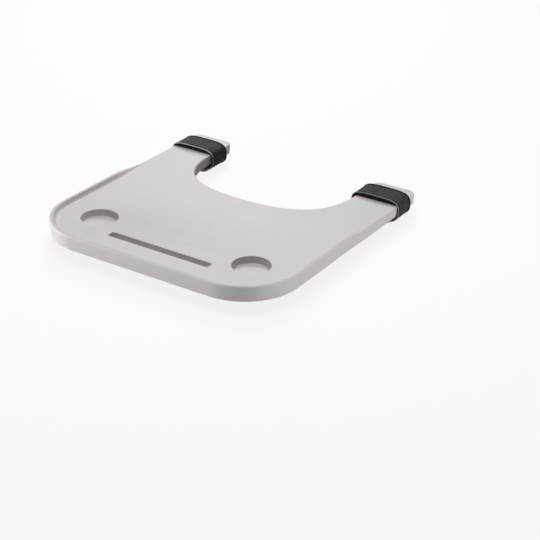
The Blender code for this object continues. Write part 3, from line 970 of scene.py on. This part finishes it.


# %% [markdown]
# ## Woven cloth
#
# The webbing is black polyester with heavy ribs across it and finer yarns along it. The ribs are real
# relief, raised by a tree further down, which also notes how high each point lies, so that the tops of
# the ribs can be paler and smoother: partly wear, where a strap rubs, and partly a painted sheen on the
# crests, which leaves the grooves between them as painted shade. The yarns are too fine for a mesh and
# come from the material, which reads them off the strap's own length and width.


# %% Materials of cloth
FOLD_SPAN = (STRAP_WIDTH / 2 - 0.0022, STRAP_WIDTH / 2 - 0.0010)
# Painted highlight: the pale tone painted on the outward half of the tape's fold, for the light it catches.
FOLD_HIGHLIGHT_TONE = tint(172, 171, 172)
LINT_TONE = tint(150, 148, 146)
LINT_SHARE = 0.25
CLOUDS_PER_METRE = 130.0
CLOUD_SPAN = (0.3, 0.7)
LEAST_PALE = 0.45
PICK_SHARE = 0.6
RIB_WEAR_AND_SHEEN_SHARE = 0.6
YARN_TONE_SHARE = 0.3
FOLD_YARN_SHARE = 0.35
ROUGHNESS_SWING = 0.1
WEAVE_DEPTH = 0.00012


def cloth_place(tree):
    """Length along the strap and place across it, in metres."""
    place = add(tree, "ShaderNodeUVMap", uv_map="cloth")[0]
    parts = add(tree, "ShaderNodeSeparateXYZ", place)
    return parts["X"], parts["Y"]


def waves(tree, place, pitch):
    """A smooth wave from 0 to 1 with this pitch."""
    turn = times(tree, place, math.tau / pitch)
    return reckon(tree, "MULTIPLY_ADD", reckon(tree, "COSINE", turn), 0.5, 0.5)


def woven(name, dark, pale, yarn_pitch, pick_pitch, roughness=0.85, sheen=0.3, specular=0.3, fold=None):
    """Cloth with yarns along it and picks across it, paler on what stands high, partly from wear and partly
    as a painted sheen, and paler along a fold as a painted highlight.
    """
    uniform = {"Sheen_Weight": sheen, "Sheen_Roughness": 0.45, "Specular_IOR_Level": specular}
    material, tree, surface = principled(name, **uniform)
    length, width = cloth_place(tree)
    yarn = waves(tree, width, yarn_pitch)
    pick = waves(tree, length, pick_pitch)
    weave = times(tree, yarn, reckon(tree, "MULTIPLY_ADD", pick, PICK_SHARE, 1.0 - PICK_SHARE))
    rise = add(tree, "ShaderNodeAttribute", attribute_name="rise")["Fac"]
    lint = place_group(tree, LINT)["Mask"]
    cloud = noise(tree, CLOUDS_PER_METRE, detail=3.0)
    # Rib crests are painted paler, partly as wear and partly as a painted sheen, so the grooves read as
    # painted shade.
    high = reckon(tree, "MULTIPLY_ADD", rise, RIB_WEAR_AND_SHEEN_SHARE, times(tree, weave, YARN_TONE_SHARE))
    tone = times(tree, high, spread(tree, cloud, *CLOUD_SPAN, LEAST_PALE, 1.0))
    base = between(tree, tone, dark, pale)
    base = between(tree, times(tree, lint, LINT_SHARE), base, LINT_TONE)
    # Painted highlight along the fold: only its outward half is painted pale, where the rounded edge catches
    # light.
    if fold:
        fold_highlight = mask(tree, reckon(tree, "ABSOLUTE", width), FOLD_SPAN)
        outward = add(tree, "ShaderNodeAttribute", attribute_name="outer")["Fac"]
        yarns = reckon(tree, "MULTIPLY_ADD", weave, FOLD_YARN_SHARE, 1.0 - FOLD_YARN_SHARE)
        fold_highlight = times(tree, fold_highlight, outward, yarns)
        base = between(tree, fold_highlight, base, fold)
    feed(tree, surface["Base Color"], base)
    rough = spread(tree, tone, 0.0, 1.0, roughness + ROUGHNESS_SWING, roughness - ROUGHNESS_SWING)
    feed(tree, surface["Roughness"], rough)
    relief(tree, surface, weave, WEAVE_DEPTH, strength=0.7)
    return material


# The webbing's pale tone is the colour of its crests: partly worn, partly a painted sheen.
WEBBING = woven("strap_webbing", tint(3, 3, 4), tint(116, 114, 116), 0.0008, 0.0010, 0.5, 0.02, 0.12)
TAPE = woven("binding_tape", tint(10, 10, 11), tint(34, 34, 36), 0.0016, 0.0006, sheen=0.1, fold=FOLD_HIGHLIGHT_TONE)
PILE = woven("loop_pile", tint(14, 14, 15), tint(40, 40, 42), 0.0005, 0.0005, sheen=0.6)
HOOK = woven("hook_tape", tint(18, 18, 19), tint(44, 44, 46), 0.0012, 0.0012, 0.7, 0.1)

THREAD_TWISTS_PER_METRE = 900.0
THREAD_DEPTH = 0.00005
THREAD_TONES = (tint(26, 26, 28), tint(58, 58, 61))


def thread_finish():
    """Twisted sewing thread."""
    material, tree, surface = principled("sewing_thread", Roughness=0.55, Sheen_Weight=0.3)
    wave = {"wave_type": "BANDS", "bands_direction": "DIAGONAL", "Scale": THREAD_TWISTS_PER_METRE}
    twist = add(tree, "ShaderNodeTexWave", add(tree, "ShaderNodeTexCoord")["Object"], **wave)["Fac"]
    feed(tree, surface["Base Color"], between(tree, twist, *THREAD_TONES))
    relief(tree, surface, twist, THREAD_DEPTH, strength=0.6)
    return material


THREAD = thread_finish()
print("cloth:", WEBBING.name, TAPE.name, PILE.name, HOOK.name, THREAD.name)

# %% [markdown]
# ## Ribbed webbing
#
# The band is lofted round the loop in steps of a quarter of a millimetre. A tree then raises the ribs:
# it takes each point's length along the strap, turns it into a wave and moves the point out along its
# normal. The ribs are coarse enough to show in a picture from this distance. No two ribs of a woven
# strap are quite alike, so each gets its own small share of height from a seeded random value. At the
# root of the tail, band and tail each end in a quarter round about the bending line, so the webbing
# stays whole when the tail is peeled down.

# %% Webbing sizes
RIB_SPACING = 0.0036
RIB_RISE = 0.00045
RIB_SHARPNESS = 1.3
RIB_DRIFTS_PER_METRE = 55.0
LOWEST_RIB_SHARE = 0.80
RIB_END_SHARE = 0.03
TAIL_RIB_SHARE = 0.99
TAIL_EDGE_SHARES = (0.985, 0.955)
EDGE_INSET = 0.0003
SOFT_SHARE = 0.3
FACE_SINK = 0.00022
KNUCKLE_STEPS = 8
KNUCKLE_GAP = SEAM_GAP / 6
COVER_SHARE = (STRAP_WIDTH / 2 - TAPE_COVER) / BAND_HALF


# %% Tree that raises ribs
def read(tree, label):
    """Reads a number that was noted on the mesh."""
    return add(tree, "GeometryNodeInputNamedAttribute", Name=label, data_type="FLOAT")["Attribute"]


def raised_rib_tree():
    """Ribs across a strap, up to a share of its half width, each of slightly its own height."""
    tree, given, wanted = new_tree("raised_ribs", Spacing=RIB_SPACING, Rise=RIB_RISE, Edge_share=1.0, Seed=3)
    drift = add(tree, "ShaderNodeTexNoise", Scale=RIB_DRIFTS_PER_METRE, noise_dimensions="3D")["Fac"]
    wander = times(tree, reckon(tree, "SUBTRACT", drift, 0.5), 0.5)
    turns = reckon(tree, "DIVIDE", read(tree, "along"), given["Spacing"])
    turns = reckon(tree, "ADD", turns, wander)
    wave = reckon(tree, "COSINE", times(tree, turns, math.tau))
    full = reckon(tree, "POWER", reckon(tree, "MULTIPLY_ADD", wave, 0.5, 0.5), RIB_SHARPNESS)
    seeded = {"ID": reckon(tree, "ROUND", turns), "Seed": given["Seed"], "data_type": "FLOAT"}
    own = add(tree, "FunctionNodeRandomValue", None, None, LOWEST_RIB_SHARE, 1.0, **seeded)[1]
    side = reckon(tree, "ABSOLUTE", read(tree, "across"))
    inner = reckon(tree, "SUBTRACT", given["Edge share"], RIB_END_SHARE)
    open_face = spread(tree, side, inner, given["Edge share"], 1.0, 0.0)
    rise = times(tree, full, own, open_face)
    note = {"Geometry": given["Geometry"], "Name": "rise", "Value": rise}
    noted = add(tree, "GeometryNodeStoreNamedAttribute", data_type="FLOAT", domain="POINT", **note)[0]
    normal = add(tree, "GeometryNodeInputNormal")[0]
    height = times(tree, rise, given["Rise"])
    lift = add(tree, "ShaderNodeVectorMath", normal, Scale=height, operation="SCALE")[0]
    moved = add(tree, "GeometryNodeSetPosition", Geometry=noted, Offset=lift)[0]
    return close_tree(tree, given, wanted, moved)


RAISED_RIBS = raised_rib_tree()


# %% Band and tail
def knuckle(place, sense):
    """More places about the bending line: the strap's end turns a quarter round about it."""
    point, normal, length = place
    reach = BAND_OUT + KNUCKLE_GAP
    center = point + normal * reach
    found = []
    for i in range(1, KNUCKLE_STEPS + 1):
        angle = sense * i / KNUCKLE_STEPS * math.pi / 2
        c, s = math.cos(angle), math.sin(angle)
        turned_normal = Vector((normal.x * c - normal.y * s, normal.x * s + normal.y * c))
        found.append((center - turned_normal * reach, turned_normal, length))
    return found


def face_places(half, inner, outer, edges, steps=6):
    """Places round a flat band: along its inner face and back along its outer face."""
    middle = edges[-1]
    spread_out = list(edges) + [middle * (1 - 2 * i / steps) for i in range(1, steps)]
    spread_out += [-y for y in reversed(edges)]
    soft = (outer - inner) * SOFT_SHARE
    forth = [(y, inner) for y in reversed(spread_out)]
    back = [(y, outer) for y in spread_out]
    right = [(half, inner + soft), (half, outer - soft)]
    return [(-half, inner + soft)] + forth + right + back + [(-half, outer - soft)]


BAND_LOW = BAND_IN + FACE_SINK
BAND_HIGH = BAND_OUT - FACE_SINK


def band_section(_):
    """The band's base section, with extra points where the bindings' edges cross it."""
    edges = (BAND_HALF - EDGE_INSET, COVER_SHARE * BAND_HALF, (COVER_SHARE - RIB_END_SHARE) * BAND_HALF)
    return face_places(BAND_HALF, BAND_LOW, BAND_HIGH, edges)


def tail_section(length):
    """The tail's base section, drawn in round its free end."""
    left = TAIL_RUN[-1][2] - length
    short = max(0.0, 1.0 - left / TAIL_ROUND)
    half = BAND_HALF - TAIL_ROUND * (1.0 - math.sqrt(1.0 - TAIL_ROUND_SHARE * short**2))
    edges = (half - EDGE_INSET, *(share * half for share in TAIL_EDGE_SHARES))
    return face_places(half, BAND_LOW, BAND_HIGH, edges)


def ribbed(name, side, run, section, edge_share, body, node):
    """A length of webbing with its ribs raised."""
    cloth = strap_layer(name, side, run, section, WEBBING)
    grow(name, RAISED_RIBS, {"Edge share": edge_share, "Material": WEBBING}, cloth)
    smooth(cloth)
    hang(cloth, body, node)


BAND_ROOT = knuckle(BAND_RUN[-1], -1)
TAIL_ROOT = list(reversed(knuckle(TAIL_RUN[0], 1)))
for word, side in SIDES:
    band = f"{word}_strap"
    node = f"{word}_strap_band"
    ribbed(f"{word}_webbing", side, BAND_RUN + BAND_ROOT, band_section, COVER_SHARE, band, node)
    run, node = TAIL_ROOT + TAIL_RUN, f"{word}_strap_tail"
    ribbed(f"{word}_tail_webbing", side, run, tail_section, TAIL_RIB_SHARE, f"{word}_tail", node)

# %% [markdown]
# ## Bound edges
#
# A tape is folded over each edge of the band and sewn through. It stands half a millimetre proud, with
# a rounded fold. The outward half of the fold is painted pale, a painted highlight for the light that the
# rounded edge catches: the pale line that runs round the front of each strap.

# %% Binding tape
FOLD_RADIUS = 0.0013
FOLD_STEPS = 5
TAPE_STEP = 0.0009
BOUND_RUN = frames(BAND_START, below(HINGE_PLACE + TAPE_SETBACK), lap, TAPE_STEP)


def folded_tape(end):
    """Tape folded over the front (-1) or rear (1) edge, outer boundary first and then the inner."""
    edge = STRAP_WIDTH / 2
    cover = edge - TAPE_COVER
    outside = [(cover, 0.0)]
    inside = [(cover, TAPE_THICKNESS)]
    for center_out, start in ((FOLD_RADIUS, -90.0), (TAPE_OUT - FOLD_RADIUS, 0.0)):
        center = Vector((edge - FOLD_RADIUS, center_out))
        outside += [(p.x, p.y) for p, _ in arc(center, FOLD_RADIUS, start, start + 90.0, FOLD_STEPS)]
        bend = FOLD_RADIUS - TAPE_THICKNESS
        inside += [(p.x, p.y) for p, _ in arc(center, bend, start, start + 90.0, FOLD_STEPS)]
    outside.append((cover, TAPE_OUT))
    inside.append((cover, TAPE_OUT - TAPE_THICKNESS))
    return [(end * y, out) for y, out in outside + inside[::-1]]


for word, side in SIDES:
    for place, end in (("front", -1), ("rear", 1)):
        section = folded_tape(end)
        tape = strap_layer(f"{word}_{place}_edge_tape", side, BOUND_RUN, lambda _: section, TAPE)
        hang(tape, f"{word}_strap", f"{word}_strap_{place}_binding")

# %% [markdown]
# ## Stitches
#
# A seam is one stitch repeated along a line. The tree resamples the line at the stitch pitch and lays
# a small rounded body on each point, turned along the line. The inner rows lie sunk in the tape, clear
# of the arm, and all rows end short of the bending line, clear of the tail.

# %% Stitch sizes
STITCH_PITCH = 0.0034
STITCH_LENGTH = 0.0027
STITCH_RADIUS = 0.00024
SEAM_INSET = 0.0016
SEAM_SETBACK = 0.0040
SEAM_SINK = 0.0003
STITCH_ROUNDNESS = (8, 6)


# %% Tree that sews a seam
def seam_tree():
    tree, given, wanted = new_tree("seam", Pitch=STITCH_PITCH, Length=STITCH_LENGTH, Radius=STITCH_RADIUS)
    line = add(tree, "GeometryNodeMeshToCurve", Mesh=given["Geometry"])[0]
    even = add(tree, "GeometryNodeResampleCurve", Curve=line, Length=given["Pitch"], mode="LENGTH")[0]
    body = add(tree, "GeometryNodeMeshUVSphere", *STITCH_ROUNDNESS, 1.0)["Mesh"]
    half = times(tree, given["Length"], 0.5)
    size = add(tree, "ShaderNodeCombineXYZ", half, given["Radius"], given["Radius"])[0]
    ahead = add(tree, "GeometryNodeInputTangent")[0]
    turn = add(tree, "FunctionNodeAlignRotationToVector", Vector=ahead, axis="X")[0]
    return close_tree(tree, given, wanted, lay(tree, even, body, Rotation=turn, Scale=size))


SEAM = seam_tree()


def sew(name, lines, body):
    """Stitches along lines of points."""
    bm = bmesh.new()
    for line in lines:
        spots = [bm.verts.new(point) for point in line]
        for a, b in zip(spots, spots[1:]):
            bm.edges.new((a, b))
    path = keep(name, bm)
    stitches = grow(name, SEAM, {"Material": THREAD}, path)
    stitches.data.shade_smooth()
    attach(stitches, body)
    print(name, "faces:", len(stitches.data.polygons))


def line_on(side, run, y, out):
    """A line along the strap at one place across it."""
    return [strap_place(side, point + normal * out, y) for point, normal, _ in run]


SEAM_Y = STRAP_WIDTH / 2 - TAPE_COVER + SEAM_INSET
SEAM_RUN = frames(BAND_START, below(HINGE_PLACE + SEAM_SETBACK), lap, TAPE_STEP)
for word, side in SIDES:
    lines = [line_on(side, SEAM_RUN, y, out) for y in (-SEAM_Y, SEAM_Y) for out in (TAPE_OUT, SEAM_SINK)]
    sew(f"{word}_edge_seams", lines, f"{word}_strap")

# %% [markdown]
# ## Hooks and loops
#
# The closure is two patches that face each other below the armrest. The loop patch is sewn to the
# band and covered with a nap of small loose loops, scattered by a seeded tree. The hook patch is sewn
# to the tail and has rows of small bent hooks at an even pitch, one on each point of its grid.

# %% Patch sizes
PATCH_BASE = 0.00032
PILE_DENSITY = 900000.0
PILE_RADIUS = 0.00042
HOOK_PITCH = 0.00125
HOOK_RADIUS = 0.00022
HAIR_RADIUS = 0.00006
HOOKED_SHARE = 0.97
ARCH_POINTS = 6
HAIR_SIDES = 4
LOOP_SWEEP = math.radians(200.0)
HOOK_SWEEP = math.radians(230.0)
LOOP_TURNS = ((-0.5, -0.5, 0.0), (0.5, 0.5, math.tau))
HOOK_TURNS = ((-0.08, -0.08, -0.15), (0.08, 0.08, 0.15))
LOOP_PATCH_STEP = 0.0012
PATCH_START = below(LAP_START - PATCH_MARGIN)
LOOP_STOP = below(LOOP_PATCH_END) + math.tau
LOOP_RUN = frames(PATCH_START + math.tau, LOOP_STOP, lambda _: 0.0, LOOP_PATCH_STEP)
HOOK_RUN = frames(PATCH_START, below(TAIL_END + TAIL_ROUND / 2), lambda _: 0.0, HOOK_PITCH)


# %% Tree for loops and hooks
def hair_tree(name, scattered):
    """Small bent hairs on a patch: scattered and turned at random, or one on each point of its grid."""
    sizes = {"Radius": PILE_RADIUS, "Hair": HAIR_RADIUS, "Density": PILE_DENSITY, "Sweep": LOOP_SWEEP}
    tree, given, wanted = new_tree(name, **sizes, Seed=11)
    bow = {"Resolution": ARCH_POINTS, "Radius": given["Radius"], "Sweep_Angle": given["Sweep"]}
    arch = add(tree, "GeometryNodeCurveArc", mode="RADIUS", **bow)[0]
    thickness = {"Resolution": HAIR_SIDES, "Radius": given["Hair"]}
    wire = add(tree, "GeometryNodeCurvePrimitiveCircle", mode="RADIUS", **thickness)[0]
    hair = add(tree, "GeometryNodeCurveToMesh", Curve=arch, Profile_Curve=wire, Fill_Caps=True)[0]
    upright = add(tree, "GeometryNodeTransform", Geometry=hair, Rotation=(math.pi / 2, 0.0, 0.0))[0]
    patch, seed = given["Geometry"], given["Seed"]
    facing = reckon(tree, "GREATER_THAN", read(tree, "outer"), 0.5)
    if scattered:
        sown = {"Mesh": patch, "Selection": facing, "Density": given["Density"], "Seed": seed}
        scatter = add(tree, "GeometryNodeDistributePointsOnFaces", distribute_method="RANDOM", **sown)
        points, upward, chosen = scatter["Points"], scatter["Rotation"], None
    else:
        normal = add(tree, "GeometryNodeInputNormal")[0]
        upward = add(tree, "FunctionNodeAlignRotationToVector", Vector=normal, axis="Z")[0]
        side = reckon(tree, "ABSOLUTE", read(tree, "across"))
        points = patch
        chosen = times(tree, facing, reckon(tree, "LESS_THAN", side, HOOKED_SHARE))
    low, high = LOOP_TURNS if scattered else HOOK_TURNS
    spin = add(tree, "FunctionNodeRandomValue", low, high, Seed=seed, data_type="FLOAT_VECTOR")[0]
    turned = {"Rotation": upward, "Rotate_By": spin, "rotation_space": "LOCAL"}
    turn = add(tree, "FunctionNodeRotateRotation", **turned)[0]
    hairs = lay(tree, points, upright, Selection=chosen, Rotation=turn)
    return close_tree(tree, given, wanted, joined(tree, hairs, patch))


NAP = hair_tree("loop_nap", True)
HOOKS = hair_tree("hook_rows", False)


# %% Patches
def patch_places(base, top):
    """Places round a patch: a plain back, and a face with a grid of points where hairs can stand."""
    count = round(2 * PATCH_HALF / HOOK_PITCH)
    face = [(-PATCH_HALF + 2 * PATCH_HALF * i / count, top) for i in range(count + 1)]
    return face + [(-y, base) for y, _ in face]


for word, side in SIDES:
    nap_places = patch_places(LOOP_IN, LOOP_IN + PATCH_BASE)
    nap = strap_layer(f"{word}_loop_nap", side, LOOP_RUN, lambda _: nap_places, PILE)
    grow(nap.name, NAP, {"Material": PILE}, nap)
    hang(nap, f"{word}_strap", f"{word}_loop_patch")
    hook_places = patch_places(HOOK_OUT, HOOK_OUT - PATCH_BASE)
    hooks = strap_layer(f"{word}_hook_rows", side, HOOK_RUN, lambda _: hook_places, HOOK)
    for item in hooks.data.attributes["outer"].data:
        item.value = 1.0 - item.value
    values = {"Radius": HOOK_RADIUS, "Sweep": HOOK_SWEEP, "Material": HOOK}
    grow(hooks.name, HOOKS, values, hooks)
    hang(hooks, f"{word}_tail", f"{word}_hook_patch")

# %% [markdown]
# ## Grip pads
#
# Four ribbed rubber pads under the arms keep the tray from sliding on the armrests. Each is a thin
# plate with rounded corners, and a tree lays its ribs side by side: half-sunk round bars on a line.

# %% Pad sizes
PAD_WIDTH = 0.060
PAD_LENGTH = 0.070
PAD_THICKNESS = 0.002
PAD_CORNER = 0.008
PAD_RIB_RADIUS = 0.0011
PAD_RIB_PITCH = 0.0035
PAD_MARGIN = 0.0035
PAD_CORNER_STEPS = 10
PAD_RIB_SIDES = 16
RUBBER_TONES = (tint(30, 30, 31), tint(52, 51, 50))
RUBBER_ROUGHNESS = (0.72, 0.86)
RUBBER_GRAIN_SPAN = (0.3, 0.7)
RUBBER_GRAIN_DEPTH = 0.00008
BLOOMS_PER_METRE = 45.0
BLOOM_SPAN = (0.35, 0.7)


def pad_rubber():
    """Dull black rubber with a fine grain and slight bloom."""
    material, tree, surface = principled("pad_rubber", Specular_IOR_Level=0.35)
    grain = place_group(tree, GRAIN, Pits_per_metre=2200.0)
    bloom = mask(tree, noise(tree, BLOOMS_PER_METRE, detail=4.0), BLOOM_SPAN)
    feed(tree, surface["Base Color"], between(tree, bloom, *RUBBER_TONES))
    feed(tree, surface["Roughness"], spread(tree, grain["Tone"], *RUBBER_GRAIN_SPAN, *RUBBER_ROUGHNESS))
    relief(tree, surface, grain["Height"], RUBBER_GRAIN_DEPTH, strength=0.6)
    return material


def pad_rib_tree():
    """Round bars in a row."""
    sizes = {"Pitch": PAD_RIB_PITCH, "Count": 1, "Length": PAD_WIDTH, "Radius": PAD_RIB_RADIUS}
    tree, given, wanted = new_tree("pad_ribs", First=ORIGIN, **sizes)
    step = add(tree, "ShaderNodeCombineXYZ", Y=given["Pitch"])[0]
    size = {"Vertices": PAD_RIB_SIDES, "Depth": given["Length"], "Radius": given["Radius"]}
    bar = add(tree, "GeometryNodeMeshCylinder", **size)["Mesh"]
    across = add(tree, "GeometryNodeTransform", Geometry=bar, Rotation=(0.0, math.pi / 2, 0.0))[0]
    bars = in_a_row(tree, given, step, across)
    return close_tree(tree, given, wanted, joined(tree, bars, given["Geometry"]))


RUBBER = pad_rubber()
PAD_RIBS = pad_rib_tree()


def grip_pad(name, node):
    low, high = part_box(node)
    center = (low + high) / 2
    bm = bmesh.new()
    base = PAD_RIB_RADIUS
    soft = (PAD_THICKNESS - base) * SOFT_SHARE
    levels = [
        (PAD_WIDTH - 2 * soft, PAD_LENGTH - 2 * soft, PAD_CORNER - soft, base),
        (PAD_WIDTH, PAD_LENGTH, PAD_CORNER, base + soft),
        (PAD_WIDTH, PAD_LENGTH, PAD_CORNER, PAD_THICKNESS),
    ]
    bar_loft(bm, Vector((center.x, center.y, low.z)), levels, PAD_CORNER_STEPS)
    pad = keep(name, bm, RUBBER)
    count = int((PAD_LENGTH - 2 * PAD_CORNER) / PAD_RIB_PITCH) + 1
    first = (center.x, center.y - (count - 1) * PAD_RIB_PITCH / 2, low.z + PAD_RIB_RADIUS)
    values = {"First": first, "Count": count, "Length": PAD_WIDTH - 2 * PAD_MARGIN, "Material": RUBBER}
    grow(name, PAD_RIBS, values, pad)
    smooth(pad)
    hang(pad, "tray", node)


for word in ("left", "right"):
    for place in ("front", "rear"):
        grip_pad(f"{word}_{place}_ribbed_pad", f"{word}_{place}_grip_pad")

# %% [markdown]
# ## Floor and light
#
# A plain white floor and soft light suit a product picture. The deck is lit by a large box high behind
# the tray, one above it and a small one low behind it. Two long low strips light the front and the side
# on the picture's right, and leave the corner between them a little darker. The floor is white to the
# eye, but grey in its bounce and in reflections, so that it doesn't flood the sides.

# %% Floor
FLOOR_DROP = 0.0004
FLOOR_RADIUS = 9.0
FLOOR_SIDES = 96
FLOOR_Z = SOLID_BOX[0].z - FLOOR_DROP
FLOOR_TONE = tint(150, 150, 150)
FLOOR_SEEN_TONE = tint(246, 246, 246)
FLOOR_WHITE_SHARE = 0.86
FLOOR_MIRRORED_SHARE = 0.4


def seen_share(tree):
    """The light path's outputs, and whether the eye sees this straight or through clear things."""
    path = add(tree, "ShaderNodeLightPath")
    return path, reckon(tree, "MAXIMUM", path["Is Camera Ray"], path["Is Transmission Ray"])


def floor_finish():
    """White to the eye, with a soft shadow, but grey to the tray, whose sides it would flood with light."""
    material = bpy.data.materials.new("floor_white")
    material.use_nodes = True
    tree = material.node_tree
    tree.nodes.clear()
    path, seen = seen_share(tree)
    mirrored = times(tree, path["Is Glossy Ray"], FLOOR_MIRRORED_SHARE)
    share = reckon(tree, "MAXIMUM", times(tree, seen, FLOOR_WHITE_SHARE), mirrored)
    diffuse = add(tree, "ShaderNodeBsdfDiffuse", between(tree, seen, FLOOR_TONE, FLOOR_SEEN_TONE))[0]
    mix = add(tree, "ShaderNodeMixShader", share, diffuse, add(tree, "ShaderNodeEmission")[0])[0]
    add(tree, "ShaderNodeOutputMaterial", Surface=mix)
    return material


def make_floor():
    bm = bmesh.new()
    bmesh.ops.create_circle(bm, cap_ends=True, segments=FLOOR_SIDES, radius=FLOOR_RADIUS)
    bmesh.ops.translate(bm, vec=Vector((0.0, 0.0, FLOOR_Z)), verts=bm.verts)
    floor = keep("floor", bm, floor_finish())


make_floor()
print("floor at", round(FLOOR_Z, 4))

# %% Lights
WORLD_STRENGTH = 0.08
LAMPS = {  # place, size, power in watts and, for a strip, the angle of its beam
    "back_box": ((-1.4, 2.2, 2.6), (1.2, 1.2), 54.0),
    "overhead_box": ((-0.15, -0.25, 2.4), (1.1, 1.1), 29.0),
    "low_back_box": ((-1.30, 1.5, 0.93), (0.5, 0.5), 3.5),
    "front_strip": ((-3.8, -2.8, 0.0), (2.0, 0.03), 33.0, 70.0),
    "right_strip": ((4.2, -0.3, 0.0), (2.0, 0.03), 15.0, 70.0),
}
LAMP_AIM = Vector((0.0, -0.20, 0.0))


def make_world():
    """Faint even light from all round, white to the eye and through clear things."""
    world = bpy.data.worlds.new("studio")
    bpy.context.scene.world = world
    world.use_nodes = True
    tree = world.node_tree
    _, seen = seen_share(tree)
    back = tree.nodes["Background"].inputs
    feed(tree, back["Strength"], spread(tree, seen, 0.0, 1.0, WORLD_STRENGTH, 1.0))
    back["Color"].default_value = (1.0, 1.0, 1.0, 1.0)


def make_lamp(name, place, size, power, beam=180.0):
    data = bpy.data.lights.new(name, "AREA")
    data.spread = math.radians(beam)
    data.shape = "RECTANGLE"
    data.size, data.size_y = size
    data.energy = power
    lamp = put(name, data)
    lamp.location = place
    lamp.rotation_euler = (LAMP_AIM - lamp.location).to_track_quat("-Z", "Y").to_euler()
    lamp.visible_camera = False


make_world()
for name, values in LAMPS.items():
    make_lamp(name, *values)
print("lamps:", sorted(LAMPS))
